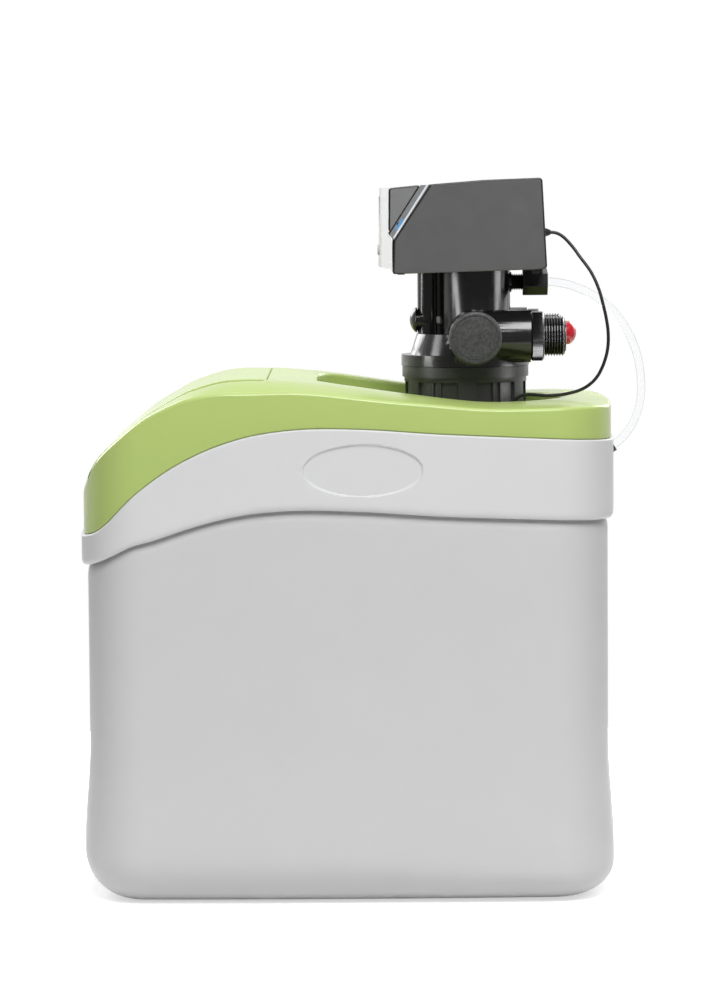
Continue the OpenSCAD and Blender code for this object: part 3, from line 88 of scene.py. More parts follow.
def noiseNode(tree, coord, scale, detail=3.0, rough=0.55):
    node = tree.nodes.new("ShaderNodeTexNoise")
    node.inputs["Scale"].default_value = scale
    node.inputs["Detail"].default_value = detail
    node.inputs["Roughness"].default_value = rough
    wire(tree, coord, "Object", node, "Vector")
    return node


def rampNode(tree, source, out, *stops):
    node = tree.nodes.new("ShaderNodeValToRGB")
    for i, (at, colour) in enumerate(stops):
        node.color_ramp.elements[i].position = at
        node.color_ramp.elements[i].color = colour
    wire(tree, source, out, node, "Fac")
    return node


def rangeNode(tree, source, out, spans, kind="LINEAR"):
    node = tree.nodes.new("ShaderNodeMapRange")
    node.interpolation_type = kind
    for pin, value in zip(("From Min", "From Max", "To Min", "To Max"), spans):
        node.inputs[pin].default_value = value
    wire(tree, source, out, node, "Value")
    return node


def mathNode(tree, operation, *pins):
    node = tree.nodes.new("ShaderNodeMath")
    node.operation = operation
    for i, pin in enumerate(pins):
        if isinstance(pin, tuple):
            wire(tree, pin[0], pin[1], node, i)
        else:
            node.inputs[i].default_value = pin
    return node


# finishes: patches of tone, smeared gloss and fine pits
plastic = {"low": 0.3, "high": 0.7, "smear": 75, "smearDetail": 4.0, "pitDetail": 2.0, "pitDepth": 0.0004,
           "coatRough": 0.15}
clearWall = {"through": 0.97, "ior": 1.06, "thinAt": 0.35, "thickAt": 0.85, "thickTint": 0.62}


def moulded(name, tint, rough=0.45, grain=1100, bump=0.10, mottle=0.03, spread=0.06, coat=0.0,
            specular=0.5, patch=16):
    mat = bpy.data.materials.new(name)
    mat.use_nodes = True
    tree = mat.node_tree
    skin = tree.nodes["Principled BSDF"]
    low, high = plastic["low"], plastic["high"]
    coord = tree.nodes.new("ShaderNodeTexCoord")
    cloud = noiseNode(tree, coord, patch)
    tone = rampNode(tree, cloud, "Fac", (low, scaled(tint, 1 - mottle)), (high, scaled(tint, 1 + mottle)))
    wire(tree, tone, "Color", skin, "Base Color")
    smear = noiseNode(tree, coord, plastic["smear"], plastic["smearDetail"])
    sheen = rangeNode(tree, smear, "Fac", (low, high, rough - spread, rough + spread))
    wire(tree, sheen, "Result", skin, "Roughness")
    pits = noiseNode(tree, coord, grain, plastic["pitDetail"])
    relief = tree.nodes.new("ShaderNodeBump")
    relief.inputs["Strength"].default_value = bump
    relief.inputs["Distance"].default_value = plastic["pitDepth"]
    wire(tree, pits, "Fac", relief, "Height")
    wire(tree, relief, "Normal", skin, "Normal")
    skin.inputs["Specular IOR Level"].default_value = specular
    skin.inputs["Coat Weight"].default_value = coat
    skin.inputs["Coat Roughness"].default_value = plastic["coatRough"]
    return mat


def drawnMetal(name, tint, rough=0.3):
    mat = moulded(name, tint, rough, grain=600, bump=0.06, mottle=0.05, spread=0.08)
    mat.node_tree.nodes["Principled BSDF"].inputs["Metallic"].default_value = 1.0
    return mat


def clearSoft(name, tint, rough=0.12):
    mat = moulded(name, tint, rough, grain=300, bump=0.03, mottle=0.01, spread=0.04)
    tree = mat.node_tree
    skin = tree.nodes["Principled BSDF"]
    skin.inputs["Transmission Weight"].default_value = clearWall["through"]
    skin.inputs["IOR"].default_value = clearWall["ior"]
    # the wall is thicker to look through at the edges
    slant = tree.nodes.new("ShaderNodeLayerWeight")
    thin = (clearWall["thinAt"], tint)
    thick = (clearWall["thickAt"], scaled(tint, clearWall["thickTint"]))
    depth = rampNode(tree, slant, "Facing", thin, thick)
    wire(tree, depth, "Color", skin, "Base Color")
    return mat


# glowing finish: the lamp's real lens, and also a painted glow on a strip that has no lamp
def lampAndPaintedGlow(name, tint, strength):
    mat = moulded(name, tint, 0.2, grain=400, bump=0.02)
    skin = mat.node_tree.nodes["Principled BSDF"]
    skin.inputs["Emission Color"].default_value = tint
    skin.inputs["Emission Strength"].default_value = strength
    return mat


finish = {
    "tank": moulded("tankShell", lin(200, 200, 201), 0.46, grain=850, bump=0.06, mottle=0.008,
                    specular=0.3),
    # the same grey plastic as the tank, painted paler: painted light for the brighter light on the upper
    # band
    "collar": moulded("collarShellPaintedPaler", lin(213, 213, 214), 0.42, grain=850, bump=0.05, mottle=0.008,
                      specular=0.3),
    "cover": moulded("coverGreen", lin(177, 197, 115), 0.25, grain=260, bump=0.012, mottle=0.006,
                     spread=0.02),
    "lid": moulded("lidGreen", lin(178, 198, 116), 0.25, grain=260, bump=0.012, mottle=0.006, spread=0.02),
    "black": moulded("valveBlack", lin(24, 24, 25), 0.20, grain=900, bump=0.03, mottle=0.08, spread=0.04,
                     specular=0.7),
    "blackDull": moulded("ringBlack", lin(54, 54, 55), 0.34, grain=900, bump=0.10, mottle=0.10),
    "capDull": moulded("capBlack", lin(62, 62, 63), 0.5, grain=650, bump=0.35, mottle=0.45, patch=420),
    "head": moulded("headGrey", lin(89, 89, 90), 0.42, grain=1400, bump=0.22, mottle=0.04),
    "cheek": moulded("cheekGrey", lin(122, 122, 123), 0.42, grain=1400, bump=0.20, mottle=0.04),
    "band": moulded("bandFrost", lin(128, 130, 134), 0.30, grain=800, bump=0.06),
    # painted shade: a dark band laid on the rounded edges of the head and its fascia, where the edges only
    # look dark for want of light
    "edgeShadePainted": moulded("paintedEdgeShade", lin(38, 38, 39), 0.4, grain=1200, bump=0.08),
    # painted light: the strip along the joint gets a faint white glow so it reads as a bright line
    "pipe": lampAndPaintedGlow("pipeGlowPainted", lin(214, 217, 222), 0.12),
    "lamp": lampAndPaintedGlow("lampBlue", lin(94, 138, 182), 0.25),
    "bezel": moulded("bezelWhite", lin(234, 234, 235), 0.3, grain=1000, bump=0.03, mottle=0.01),
    "window": moulded("windowSmoke", lin(176, 182, 184), 0.12, grain=500, bump=0.01, spread=0.03, coat=0.6),
    "key": moulded("keyPale", lin(222, 223, 225), 0.5, grain=900, bump=0.12),
    "red": moulded("plugRed", lin(206, 26, 42), 0.26, grain=700, bump=0.05, mottle=0.05, coat=0.3),
    "rubber": moulded("sealRubber", lin(22, 22, 23), 0.62, grain=900, bump=0.2, mottle=0.12),
    "lead": moulded("leadJacket", lin(20, 20, 21), 0.42, grain=700, bump=0.08, mottle=0.08),
    "tube": clearSoft("brineTubing", lin(250, 251, 252), 0.08),
    "natural": moulded("naturalPlastic", lin(222, 219, 209), 0.45, grain=700, bump=0.08),
    "well": moulded("wellWhite", lin(224, 226, 227), 0.45, grain=800, bump=0.08),
    "vessel": moulded("woundGlass", lin(58, 92, 132), 0.42, grain=260, bump=0.35, mottle=0.14),
    "resin": moulded("resinBeads", lin(165, 112, 44), 0.5, grain=900, bump=0.6, mottle=0.25),
    "board": moulded("boardGreen", lin(42, 104, 66), 0.35, grain=500, bump=0.1),
    "display": moulded("displayGlass", lin(74, 88, 78), 0.25, grain=500, bump=0.02),
    "gear": moulded("gearCream", lin(226, 220, 202), 0.4, grain=700, bump=0.06),
    "steel": drawnMetal("pinSteel", lin(190, 192, 195), 0.28),
    "motor": drawnMetal("motorCan", lin(150, 152, 155), 0.38),
    "brass": drawnMetal("pinionBrass", lin(205, 178, 96), 0.3),
}
print("finishes ready:", len(finish))


# mesh helpers, lengths in millimetres and angles in degrees
boxFaces = [(0, 1, 2, 3), (4, 5, 6, 7), (0, 1, 5, 4), (1, 2, 6, 5), (2, 3, 7, 6), (3, 0, 4, 7)]
cleanUp = {"tinyEdge": 1e-7, "sameSpot": 2e-6, "flatAngle": 0.6}
softEdge = {"angle": 30, "segments": 2, "sharp": 30}


def sinD(a):
    return math.sin(math.radians(a))


def cosD(a):
    return math.cos(math.radians(a))


def ease(t):
    t = min(max(t, 0), 1)
    return t * t * (3 - 2 * t)


def roundLoop(at, r, step):
    return [(at[0] + r * cosD(a), at[1] + r * sinD(a)) for a in range(0, 360, step)]


def onLoop(loop, height):
    return [(x, y, height(x, y)) for x, y in loop]


def addPiece(name, verts, faces, mat, body, stands=(), sharp=32, weld=0.004):
    mesh = bpy.data.meshes.new(name)
    mesh.from_pydata([(x / 1000, y / 1000, z / 1000) for x, y, z in verts], [], faces)
    bm = bmesh.new()
    bm.from_mesh(mesh)
    bmesh.ops.remove_doubles(bm, verts=bm.verts, dist=weld / 1000)
    bmesh.ops.dissolve_degenerate(bm, dist=cleanUp["tinyEdge"], edges=bm.edges)
    bmesh.ops.recalc_face_normals(bm, faces=bm.faces)
    bm.to_mesh(mesh)
    bm.free()
    return dressPiece(name, mesh, mat, body, stands, sharp)


def dressPiece(name, mesh, mat, body, stands, sharp):
    mesh.shade_smooth()
    mesh.set_sharp_from_angle(angle=math.radians(sharp))
    mesh.materials.clear()
    mesh.materials.append(mat)
    piece = bpy.data.objects.new(name, mesh)
    scene.collection.objects.link(piece)
    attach(piece, body)
    if stands:
        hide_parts(*stands)
    return piece


def roundEdges(piece, width, segments=3):
    mod = piece.modifiers.new("softEdges", "BEVEL")
    mod.limit_method = "ANGLE"
    mod.angle_limit = math.radians(softEdge["angle"])
    mod.width = width / 1000
    mod.segments = segments
    mod.use_clamp_overlap = True
    mod.harden_normals = True
    return mod


def softCopy(node, mat, body, width):
    mesh = nodes[node].data.copy()
    mesh.name = node + "Soft"
    bm = bmesh.new()
    bm.from_mesh(mesh)
    bmesh.ops.remove_doubles(bm, verts=bm.verts, dist=cleanUp["sameSpot"])
    flat = math.radians(cleanUp["flatAngle"])
    bmesh.ops.dissolve_limit(bm, angle_limit=flat, verts=bm.verts, edges=bm.edges)
    bm.to_mesh(mesh)
    bm.free()
    piece = dressPiece(node + "Soft", mesh, mat, body, (node,), softEdge["sharp"])
    if width:
        roundEdges(piece, width, softEdge["segments"])


def loftFaces(count, n, closed=False):
    faces = []
    for j in range(count if closed else count - 1):
        a, b = j * n, ((j + 1) % count) * n
        for i in range(n):
            k = (i + 1) % n
            faces.append((a + i, a + k, b + k, b + i))
    return faces


def lathe(profile, steps):
    verts = []
    for i in range(steps):
        a = 2 * math.pi * i / steps
        for r, z in profile:
            verts.append((r * math.cos(a), r * math.sin(a), z))
    m = len(profile)
    faces = []
    for i in range(steps):
        a, b = i * m, ((i + 1) % steps) * m
        for j in range(m - 1):
            faces.append((a + j, b + j, b + j + 1, a + j + 1))
    return verts, faces


# cabinet: plan outline and the three long curves
cabinet = {
    "halfWidth": 145.0, "halfLength": 223.5, "top": 430.5, "corner": 52.0, "sideBow": 4.0, "endBow": 4.0,
    "endSteps": 10, "cornerSteps": 14, "sideSteps": 60,
    "deck": [(0, -122), (4, -100), (6, -90), (9, -81.5), (14, -71), (20, -62), (34, -48.7), (56, -30.5),
             (72, -20.5), (95, -8.5), (130, 0), (195, -2.5), (272, -13), (330, -20), (372, -20.8),
             (410, -20), (447, -19.4)],
    "seam": [(0, -128.5), (20, -121.5), (51, -91.5), (88, -66), (133, -47.5), (180, -39.5), (234, -39.3),
             (300, -43.8), (447, -51)],
    "band": [(0, 26), (20, 26), (43, 37), (70, 50.5), (106, 58.7), (161, 64.5), (234, 67), (447, 65.5)],
}
hx, hy = cabinet["halfWidth"], cabinet["halfLength"]
cornerX = hx - cabinet["sideBow"] - cabinet["corner"]
cornerY = hy - cabinet["endBow"] - cabinet["corner"]


def follow(pts, u):
    u = min(max(u, pts[0][0]), pts[-1][0])
    i = 0
    while i < len(pts) - 2 and u > pts[i + 1][0]:
        i += 1

    def slope(k):
        a, b = pts[max(k - 1, 0)], pts[min(k + 1, len(pts) - 1)]
        return (b[1] - a[1]) / (b[0] - a[0])
    (u0, z0), (u1, z1) = pts[i], pts[i + 1]
    h = u1 - u0
    t = (u - u0) / h
    return (z0 * (2 * t**3 - 3 * t**2 + 1) + h * slope(i) * (t**3 - 2 * t**2 + t)
            + z1 * (3 * t**2 - 2 * t**3) + h * slope(i + 1) * (t**3 - t**2))


def deckAt(y):
    return cabinet["top"] + follow(cabinet["deck"], y + hy)


def seamAt(y):
    return cabinet["top"] + follow(cabinet["seam"], y + hy)


def lipAt(y):
    return seamAt(y) - follow(cabinet["band"], y + hy)


def planHalf(d, sides=None):
    ends, corners, along = cabinet["endSteps"], cabinet["cornerSteps"], cabinet["sideSteps"]
    sides = sides or [2 * i / along - 1 for i in range(along + 1)]
    r = cabinet["corner"] - d
    half = []
    for i in range(ends + 1):
        t = i / ends
        half.append((cornerX * t, -(hy - d - cabinet["endBow"] * t * t)))
    for i in range(1, corners):
        a = -90 + 90 * i / corners
        half.append((cornerX + r * cosD(a), -cornerY + r * sinD(a)))
    for t in sides:
        half.append((hx - d - cabinet["sideBow"] * t * t, cornerY * t))
    for i in range(1, corners):
        a = 90 * i / corners
        half.append((cornerX + r * cosD(a), cornerY + r * sinD(a)))
    for i in range(ends, -1, -1):
        t = i / ends
        half.append((cornerX * t, hy - d - cabinet["endBow"] * t * t))
    return half


def planLoop(d, sides=None):
    half = planHalf(d, sides)
    return half + [(-x, y) for x, y in reversed(half[1:-1])]


def planRing(d, height, sides=None):
    return [(x, y, height(y)) for x, y in planLoop(d, sides)]


def insetAt(x, y):
    x, y = abs(x), abs(y)
    if x > cornerX and y > cornerY:
        return cabinet["corner"] - math.hypot(x - cornerX, y - cornerY)
    side = hx - cabinet["sideBow"] * (y / cornerY) ** 2 - x if y <= cornerY else math.inf
    end = hy - cabinet["endBow"] * (x / cornerX) ** 2 - y if x <= cornerX else math.inf
    return min(side, end)


# brine tank
tank = {"inset": 5.0, "wall": 4.5, "floor": 5.0, "footRadius": 42.0, "footLess": 12.0, "flare": 5.0,
        "flareTop": 130.0, "levels": (160, 190, 220, 250), "rimRise": 18.0, "rimEdge": 1.0, "rimStep": 0.5,
        "hollow": [(-10, 0), (-7.5, 0.25), (-5, 0.9), (-3, 1.7), (-1, 2.3), (1, 2.5)],
        "footSteps": 14, "flareSteps": 16, "innerSteps": 8}


def buildTank():
    rings = []
    foot = tank["inset"] - tank["flare"]
    footRound = tank["footRadius"]

    def footAt(y):
        return footRound - tank["footLess"] * ease(y / cornerY)

    def footLevel(d, z0, r, a):
        up = 1 - cosD(a)
        rings.append(planRing(d + r * (1 - sinD(a)), lambda y: z0 + (footAt(y) - z0) * up))

    def wallLevel(d, t):
        def height(y):
            return footAt(y) + (tank["flareTop"] - footAt(y)) * t
        rings.append(planRing(d + tank["flare"] * ease(t), height))

    def rim(y):
        return lipAt(y) + tank["rimRise"]

    def belowRim(y):
        return rim(y) - tank["rimEdge"]
    for i in range(tank["footSteps"] + 1):
        footLevel(foot, 0, footRound, 90 * i / tank["footSteps"])
    for i in range(1, tank["flareSteps"] + 1):
        wallLevel(foot, i / tank["flareSteps"])
    for z in tank["levels"]:
        rings.append(planRing(tank["inset"], lambda y: z))
    for rise, deep in tank["hollow"]:
        rings.append(planRing(tank["inset"] + deep, lambda y: lipAt(y) + rise))
    neck = tank["inset"] + tank["hollow"][-1][1]
    rings.append(planRing(neck, belowRim))
    rings.append(planRing(neck + tank["rimStep"], rim))
    rings.append(planRing(tank["inset"] + tank["wall"] - tank["rimEdge"], rim))
    rings.append(planRing(tank["inset"] + tank["wall"], belowRim))
    # and down again inside
    inner, steps = foot + tank["wall"], tank["innerSteps"]
    for i in range(steps, 0, -1):
        wallLevel(inner, i / steps)
    for i in range(steps, -1, -1):
        footLevel(inner, tank["floor"], footRound - tank["floor"], 90 * i / steps)
    n = len(rings[0])
    verts = [v for r in rings for v in r]
    faces = loftFaces(len(rings), n)
    last = (len(rings) - 1) * n
    faces.append(tuple(range(n)))
    faces.append(tuple(range(last, last + n)))
    addPiece("brineTank", verts, faces, finish["tank"], "cabinet", ("brine_tank",), sharp=40)


buildTank()
print("tank built")

# collar with the shallow oval on each side
collar = {"wall": 4.4, "lipIn": 4.0, "lipHigh": 6.5, "topRound": 1.2, "shelfIn": 14.0, "shelfThick": 3.0,
          "shelfRise": 18.3, "faceRings": 60, "sideFrom": 130.0,
          "ovalAt": (13.0, 358.0), "ovalHalf": (48.5, 21.0), "ovalDepth": 1.7, "ovalEdge": 0.9,
          "ovalFlat": 0.3, "ovalReach": 54.0, "fineStep": 0.9, "longStep": 6.0}


def ovalDip(y, z):
    a, b = collar["ovalHalf"]
    ey, ez = (y - collar["ovalAt"][0]) / a, (z - collar["ovalAt"][1]) / b
    q = math.hypot(ey, ez)
    if q < collar["ovalFlat"]:
        return collar["ovalDepth"]
    grad = math.hypot(ey / a, ez / b) / q
    return collar["ovalDepth"] * ease(0.5 - (q - 1) / grad / collar["ovalEdge"])


def buildCollar():
    low, high = collar["ovalAt"][0] - collar["ovalReach"], collar["ovalAt"][0] + collar["ovalReach"]
    sides, t = [], -1.0
    while t < 1.0001:
        sides.append(min(t, 1.0))
        t += (collar["fineStep"] if low < t * cornerY < high else collar["longStep"]) / cornerY
    if sides[-1] < 1:
        sides.append(1.0)
    rings = []
    wall, lipHigh, top = collar["wall"], collar["lipHigh"], collar["topRound"]

    def level(d, height):
        rings.append(planRing(d, height, sides))

    def shelf(y):
        return lipAt(y) + collar["shelfRise"]

    def shelfTop(y):
        return shelf(y) + collar["shelfThick"]
    level(wall, lipAt)
    for a in range(0, 91, 15):
        level(collar["lipIn"] * (1 - sinD(a)), lambda y: lipAt(y) + lipHigh * (1 - cosD(a)))
    faceFrom = len(rings) - 1
    for i in range(1, collar["faceRings"]):
        f = i / collar["faceRings"]
        level(0, lambda y: lipAt(y) + lipHigh + (seamAt(y) - top - lipAt(y) - lipHigh) * f)
    for a in range(0, 91, 30):
        level(top * (1 - cosD(a)), lambda y: seamAt(y) - top * (1 - sinD(a)))
    faceTo = len(rings) - 1
    level(wall, seamAt)
    level(wall, shelfTop)
    level(collar["shelfIn"], shelfTop)
    level(collar["shelfIn"], shelf)
    level(wall, shelf)
    verts = []
    for j, ring in enumerate(rings):
        for x, y, z in ring:
            if faceFrom <= j <= faceTo and abs(x) > collar["sideFrom"] and low < y < high:
                x -= math.copysign(ovalDip(y, z), x)
            verts.append((x, y, z))
    faces = loftFaces(len(rings), len(rings[0]), True)
    addPiece("upperCollar", verts, faces, finish["collar"], "cabinet", ("upper_collar",),
             sharp=40)


buildCollar()
print("collar built")

# cover: one domed skin with the lid's mouth and the valve's well let into it
cover = {"inset": 2.0, "skin": 3.0, "shoulder": 36.0, "drop": 19.0, "slope": 0.52, "bow": 1.7,
         "edge": 3.2, "edgeDrop": 2.4, "edgeTurn": (90, 75, 60, 45, 33, 26),
         "ledge": 1.8, "ledgeStep": 2.0, "ledgeWide": 11.0, "ledgeEnd": 6.0,
         "share": [(0, 0.16), (60, 0.16), (98, 0.58), (140, 1), (185, 0.74), (230, 0.66), (270, 0.5),
                   (310, 0.34), (447, 0.29)],
         "topInsets": (4.4, 5.5, 8, 11, 15, 19, 23, 27, 31, 35, 38, 40),
         "underInsets": (8, 12, 17, 22, 28, 34, 39),
         "gridX": range(-104, 105, 8), "gridY": range(-180, 184, 8), "gridInset": 42.0,
         "wellRadius": 84.0, "wellFront": -25.0, "wellCorner": 30.0, "wellFloor": 388.0, "wellLip": 3.0,
         "wellTurn": 4.0, "wellSteps": 12, "wellFrontSteps": 16,
         "neck": (0.0, 100.4), "neckHole": 53.9, "leadHole": (48.0, 138.0), "leadHoleRadius": 4.0,
         "mouthHalf": 103.9, "mouthFront": 4.6, "mouthBack": -64.8, "mouthLip": 0.7,
         "mouthSteps": 40, "mouthFrontSteps": 60,
         "seamGap": 0.3, "seamTurn": 0.8, "tongue": (4.9, 7.4), "tongueLow": -2.5, "tongueHigh": 8.0}
rails = {"run": (16.0, 143.0), "steps": 40,
         "outline": [(93.9, -3.5), (104.2, -3.5), (104.2, -1.5), (106.9, -1.5), (106.9, -6.6), (93.9, -6.6)]}
boss = {"sides": (104.2, 118.0), "at": (-68.5, 427.98),
        "outline": [(-6, -6.3), (6, -6.3), (6, 1.4), (-6, 1.4)]}


def skinTop(x, y):
    d = insetAt(x, y)
    t = min(max((cover["inset"] + cover["shoulder"] - d) / cover["shoulder"], 0), 1)
    near = min(max(1 - (d - cover["inset"]) / cover["edge"], 0), 1)
    z = deckAt(y) - follow(cover["share"], y + hy) * cover["drop"] * cover["slope"] * t ** cover["bow"]
    z -= cover["edgeDrop"] * (1 - math.sqrt(max(1 - near * near, 0)))
    past, step = abs(x) - cover["mouthHalf"], cover["ledgeStep"]
    beside = ease((past + step) / step) * (1 - ease((past - step) / cover["ledgeWide"]))
    return z - cover["ledge"] * beside * ease((cover["mouthBack"] - y) / cover["ledgeEnd"])


def underSkin(x, y):
    return skinTop(x, y) - cover["skin"]


def wellLoop(extra):
    r, c = cover["wellRadius"] + extra, cover["wellCorner"] + extra
    y0, vy = cover["wellFront"] - extra, cover["neck"][1]
    n, m = cover["wellSteps"], cover["wellFrontSteps"]
    pts = [(r * cosD(a), vy + r * sinD(a)) for a in range(0, 181, 3)]
    pts += [(-r, y0 + c + (vy - y0 - c) * (1 - i / n)) for i in range(1, n)]
    pts += [(-(r - c) - c * cosD(a), y0 + c - c * sinD(a)) for a in range(0, 91, 6)]
    pts += [((r - c) * (2 * i / m - 1), y0) for i in range(1, m)]
    pts += [((r - c) + c * sinD(a), y0 + c - c * cosD(a)) for a in range(0, 91, 6)]
    pts += [(r, y0 + c + (vy - y0 - c) * i / n) for i in range(1, n)]
    return pts


def frontEdge(x, d):
    x = abs(x)
    if x <= cornerX:
        return -(hy - d - cabinet["endBow"] * (x / cornerX) ** 2)
    r = cabinet["corner"] - d
    return -(cornerY + math.sqrt(max(r * r - (x - cornerX) ** 2, 0)))


def mouthLoop(extra):
    h, d, back = cover["mouthHalf"] + extra, cover["mouthFront"] - extra, cover["mouthBack"] + extra
    n, m = cover["mouthSteps"], cover["mouthFrontSteps"]
    front = frontEdge(h, d)
    pts = [(h * (1 - 2 * i / n), back) for i in range(n)]
    pts += [(-h, back + (front - back) * i / n) for i in range(n)]
    pts += [(-h + 2 * h * i / m, frontEdge(-h + 2 * h * i / m, d)) for i in range(m)]
    pts += [(h, front + (back - front) * i / n) for i in range(n)]
    return pts


def inLoop(p, loop):
    within = False
    j = len(loop) - 1
    for i in range(len(loop)):
        (xi, yi), (xj, yj) = loop[i], loop[j]
        if (yi > p[1]) != (yj > p[1]) and p[0] < (xj - xi) * (p[1] - yi) / (yj - yi) + xi:
            within = not within
        j = i
    return within


def sheetOver(outer, holes, spots, height):
    pts, edges = [], []
    for loop in [outer] + holes:
        base = len(pts)
        pts.extend(Vector(p) for p in loop)
        edges.extend((base + i, base + (i + 1) % len(loop)) for i in range(len(loop)))
    pts.extend(Vector(p) for p in spots)
    out = delaunay_2d_cdt(pts, edges, [], 0, 1e-4, False)
    flat, tris = out[0], out[2]
    faces = []
    for f in tris:
        c = (sum(flat[i][0] for i in f) / len(f), sum(flat[i][1] for i in f) / len(f))
        if inLoop(c, outer) and not any(inLoop(c, h) for h in holes):
            faces.append(tuple(f))
    return [(p[0], p[1], height(p[0], p[1])) for p in flat], faces


def buildCover():
    verts, faces = [], []

    def take(v, f):
        base = len(verts)
        verts.extend(v)
        faces.extend(tuple(base + i for i in q) for q in f)

    def strip(rings):
        take([p for r in rings for p in r], loftFaces(len(rings), len(rings[0])))

    def rolled(loopOf, r, angles):
        rings = []
        for a in angles:
            rings.append(onLoop(loopOf(r * (1 - sinD(a))), lambda x, y: skinTop(x, y) - r * (1 - cosD(a))))
        return rings

    def seamRing(d, rise):
        return planRing(d, lambda y: seamAt(y) + rise)
    inset, skin, lip, rim = cover["inset"], cover["skin"], cover["wellLip"], cover["mouthLip"]
    # top of the skin: its rolled edge, then a sheet with two holes
    edge = [inset + cover["edge"] * (1 - sinD(a)) for a in cover["edgeTurn"]]
    strip([onLoop(planLoop(d), skinTop) for d in edge])
    spread = [p for d in cover["topInsets"] for p in planLoop(d)]
    grid = [(x, y) for x in cover["gridX"] for y in cover["gridY"] if insetAt(x, y) > cover["gridInset"]]
    take(*sheetOver(planLoop(edge[-1]), [wellLoop(lip), mouthLoop(rim)], spread + grid, skinTop))
    # under side of the skin
    spread = [p for d in cover["underInsets"] for p in planLoop(d)]
    holes = [wellLoop(skin), mouthLoop(0)]
    take(*sheetOver(planLoop(inset + skin), holes, spread + grid, underSkin))
    # rim of the well, its wall and floor
    floor, turn = cover["wellFloor"], cover["wellTurn"]

    def onFloor(x, y):
        return floor

    def underFloor(x, y):
        return floor - skin
    rings = rolled(wellLoop, lip, range(0, 91, 15))
    rings.append(onLoop(wellLoop(0), lambda x, y: floor + turn))
    for a in (30, 60, 90):
        rings.append(onLoop(wellLoop(-turn * (1 - cosD(a))), lambda x, y: floor + turn * (1 - sinD(a))))
    strip(rings)
    holes = [roundLoop(cover["neck"], cover["neckHole"], 4),
             roundLoop(cover["leadHole"], cover["leadHoleRadius"], 15)]
    take(*sheetOver(wellLoop(-turn), holes, [], onFloor))
    take(*sheetOver(wellLoop(skin), holes, [], underFloor))
    strip([onLoop(wellLoop(skin), underSkin), onLoop(wellLoop(skin), underFloor)])
    for hole in holes:
        strip([onLoop(hole, onFloor), onLoop(hole, underFloor)])
    # rim of the lid's mouth
    strip(rolled(mouthLoop, rim, (0, 30, 60, 90)) + [onLoop(mouthLoop(0), underSkin)])
    # skirt, seam edge and the tongue that drops behind the collar
    gap, bend, (near, far) = cover["seamGap"], cover["seamTurn"], cover["tongue"]
    low, high = cover["tongueLow"], cover["tongueHigh"]
    strip([onLoop(planLoop(inset), skinTop), seamRing(inset, gap + bend), seamRing(inset + bend, gap),
           seamRing(near, gap), seamRing(near, low), seamRing(far, low), seamRing(far, high),
           seamRing(inset + skin, high), onLoop(planLoop(inset + skin), underSkin)])
    # seat rails under the lid's sides, and the hinge bosses
    start, end = rails["run"]
    n = len(rails["outline"])
    for s in (-1, 1):
        rows = []
        for i in range(rails["steps"] + 1):
            y = start - hy + (end - start) * i / rails["steps"]
            rows.append([(s * a, y, deckAt(y) + b) for a, b in rails["outline"]])
        strip(rows)
        take(rows[0] + rows[-1], [tuple(range(n)), tuple(range(n, 2 * n))])
        y0, z0 = boss["at"]
        take([(s * x, y0 + b, z0 + c) for x in boss["sides"] for b, c in boss["outline"]], boxFaces)
    addPiece("topCover", verts, faces, finish["cover"], "cabinet", ("top_cover",), sharp=38,
             weld=0.02)


buildCover()
print("cover built")

# salt lid, same skin as the cover, with a rolled hinge edge
lid = {"half": 103.0, "front": 5.5, "thick": 3.0, "edge": 0.8, "edgeStart": 0.25, "thinEdge": 1.0,
       "thinTo": 12.0, "thickRun": 18.0, "straight": 8.0, "cols": 60, "rows": 70, "crowd": 1.35,
       "hinge": (-68.5, 427.985), "barrel": 2.8, "barrelEnd": 0.4, "barrelSteps": 32,
       "knuckles": 8, "grooveTop": 0.5, "grooveFoot": 0.2, "grooveDeep": 0.35}


def hingeBarrel():
    r, half, end = lid["barrel"], lid["half"], lid["barrelEnd"]
    wide, foot, deep = lid["grooveTop"], lid["grooveFoot"], r - lid["grooveDeep"]
    profile = [(0.0, -half), (r - end, -half), (r, -half + end)]
    for i in range(1, lid["knuckles"]):
        c = -half + 2 * half * i / lid["knuckles"]
        profile += [(r, c - wide), (deep, c - foot), (deep, c + foot), (r, c + wide)]
    profile += [(r, half - end), (r - end, half), (0.0, half)]
    return lathe(profile, lid["barrelSteps"])


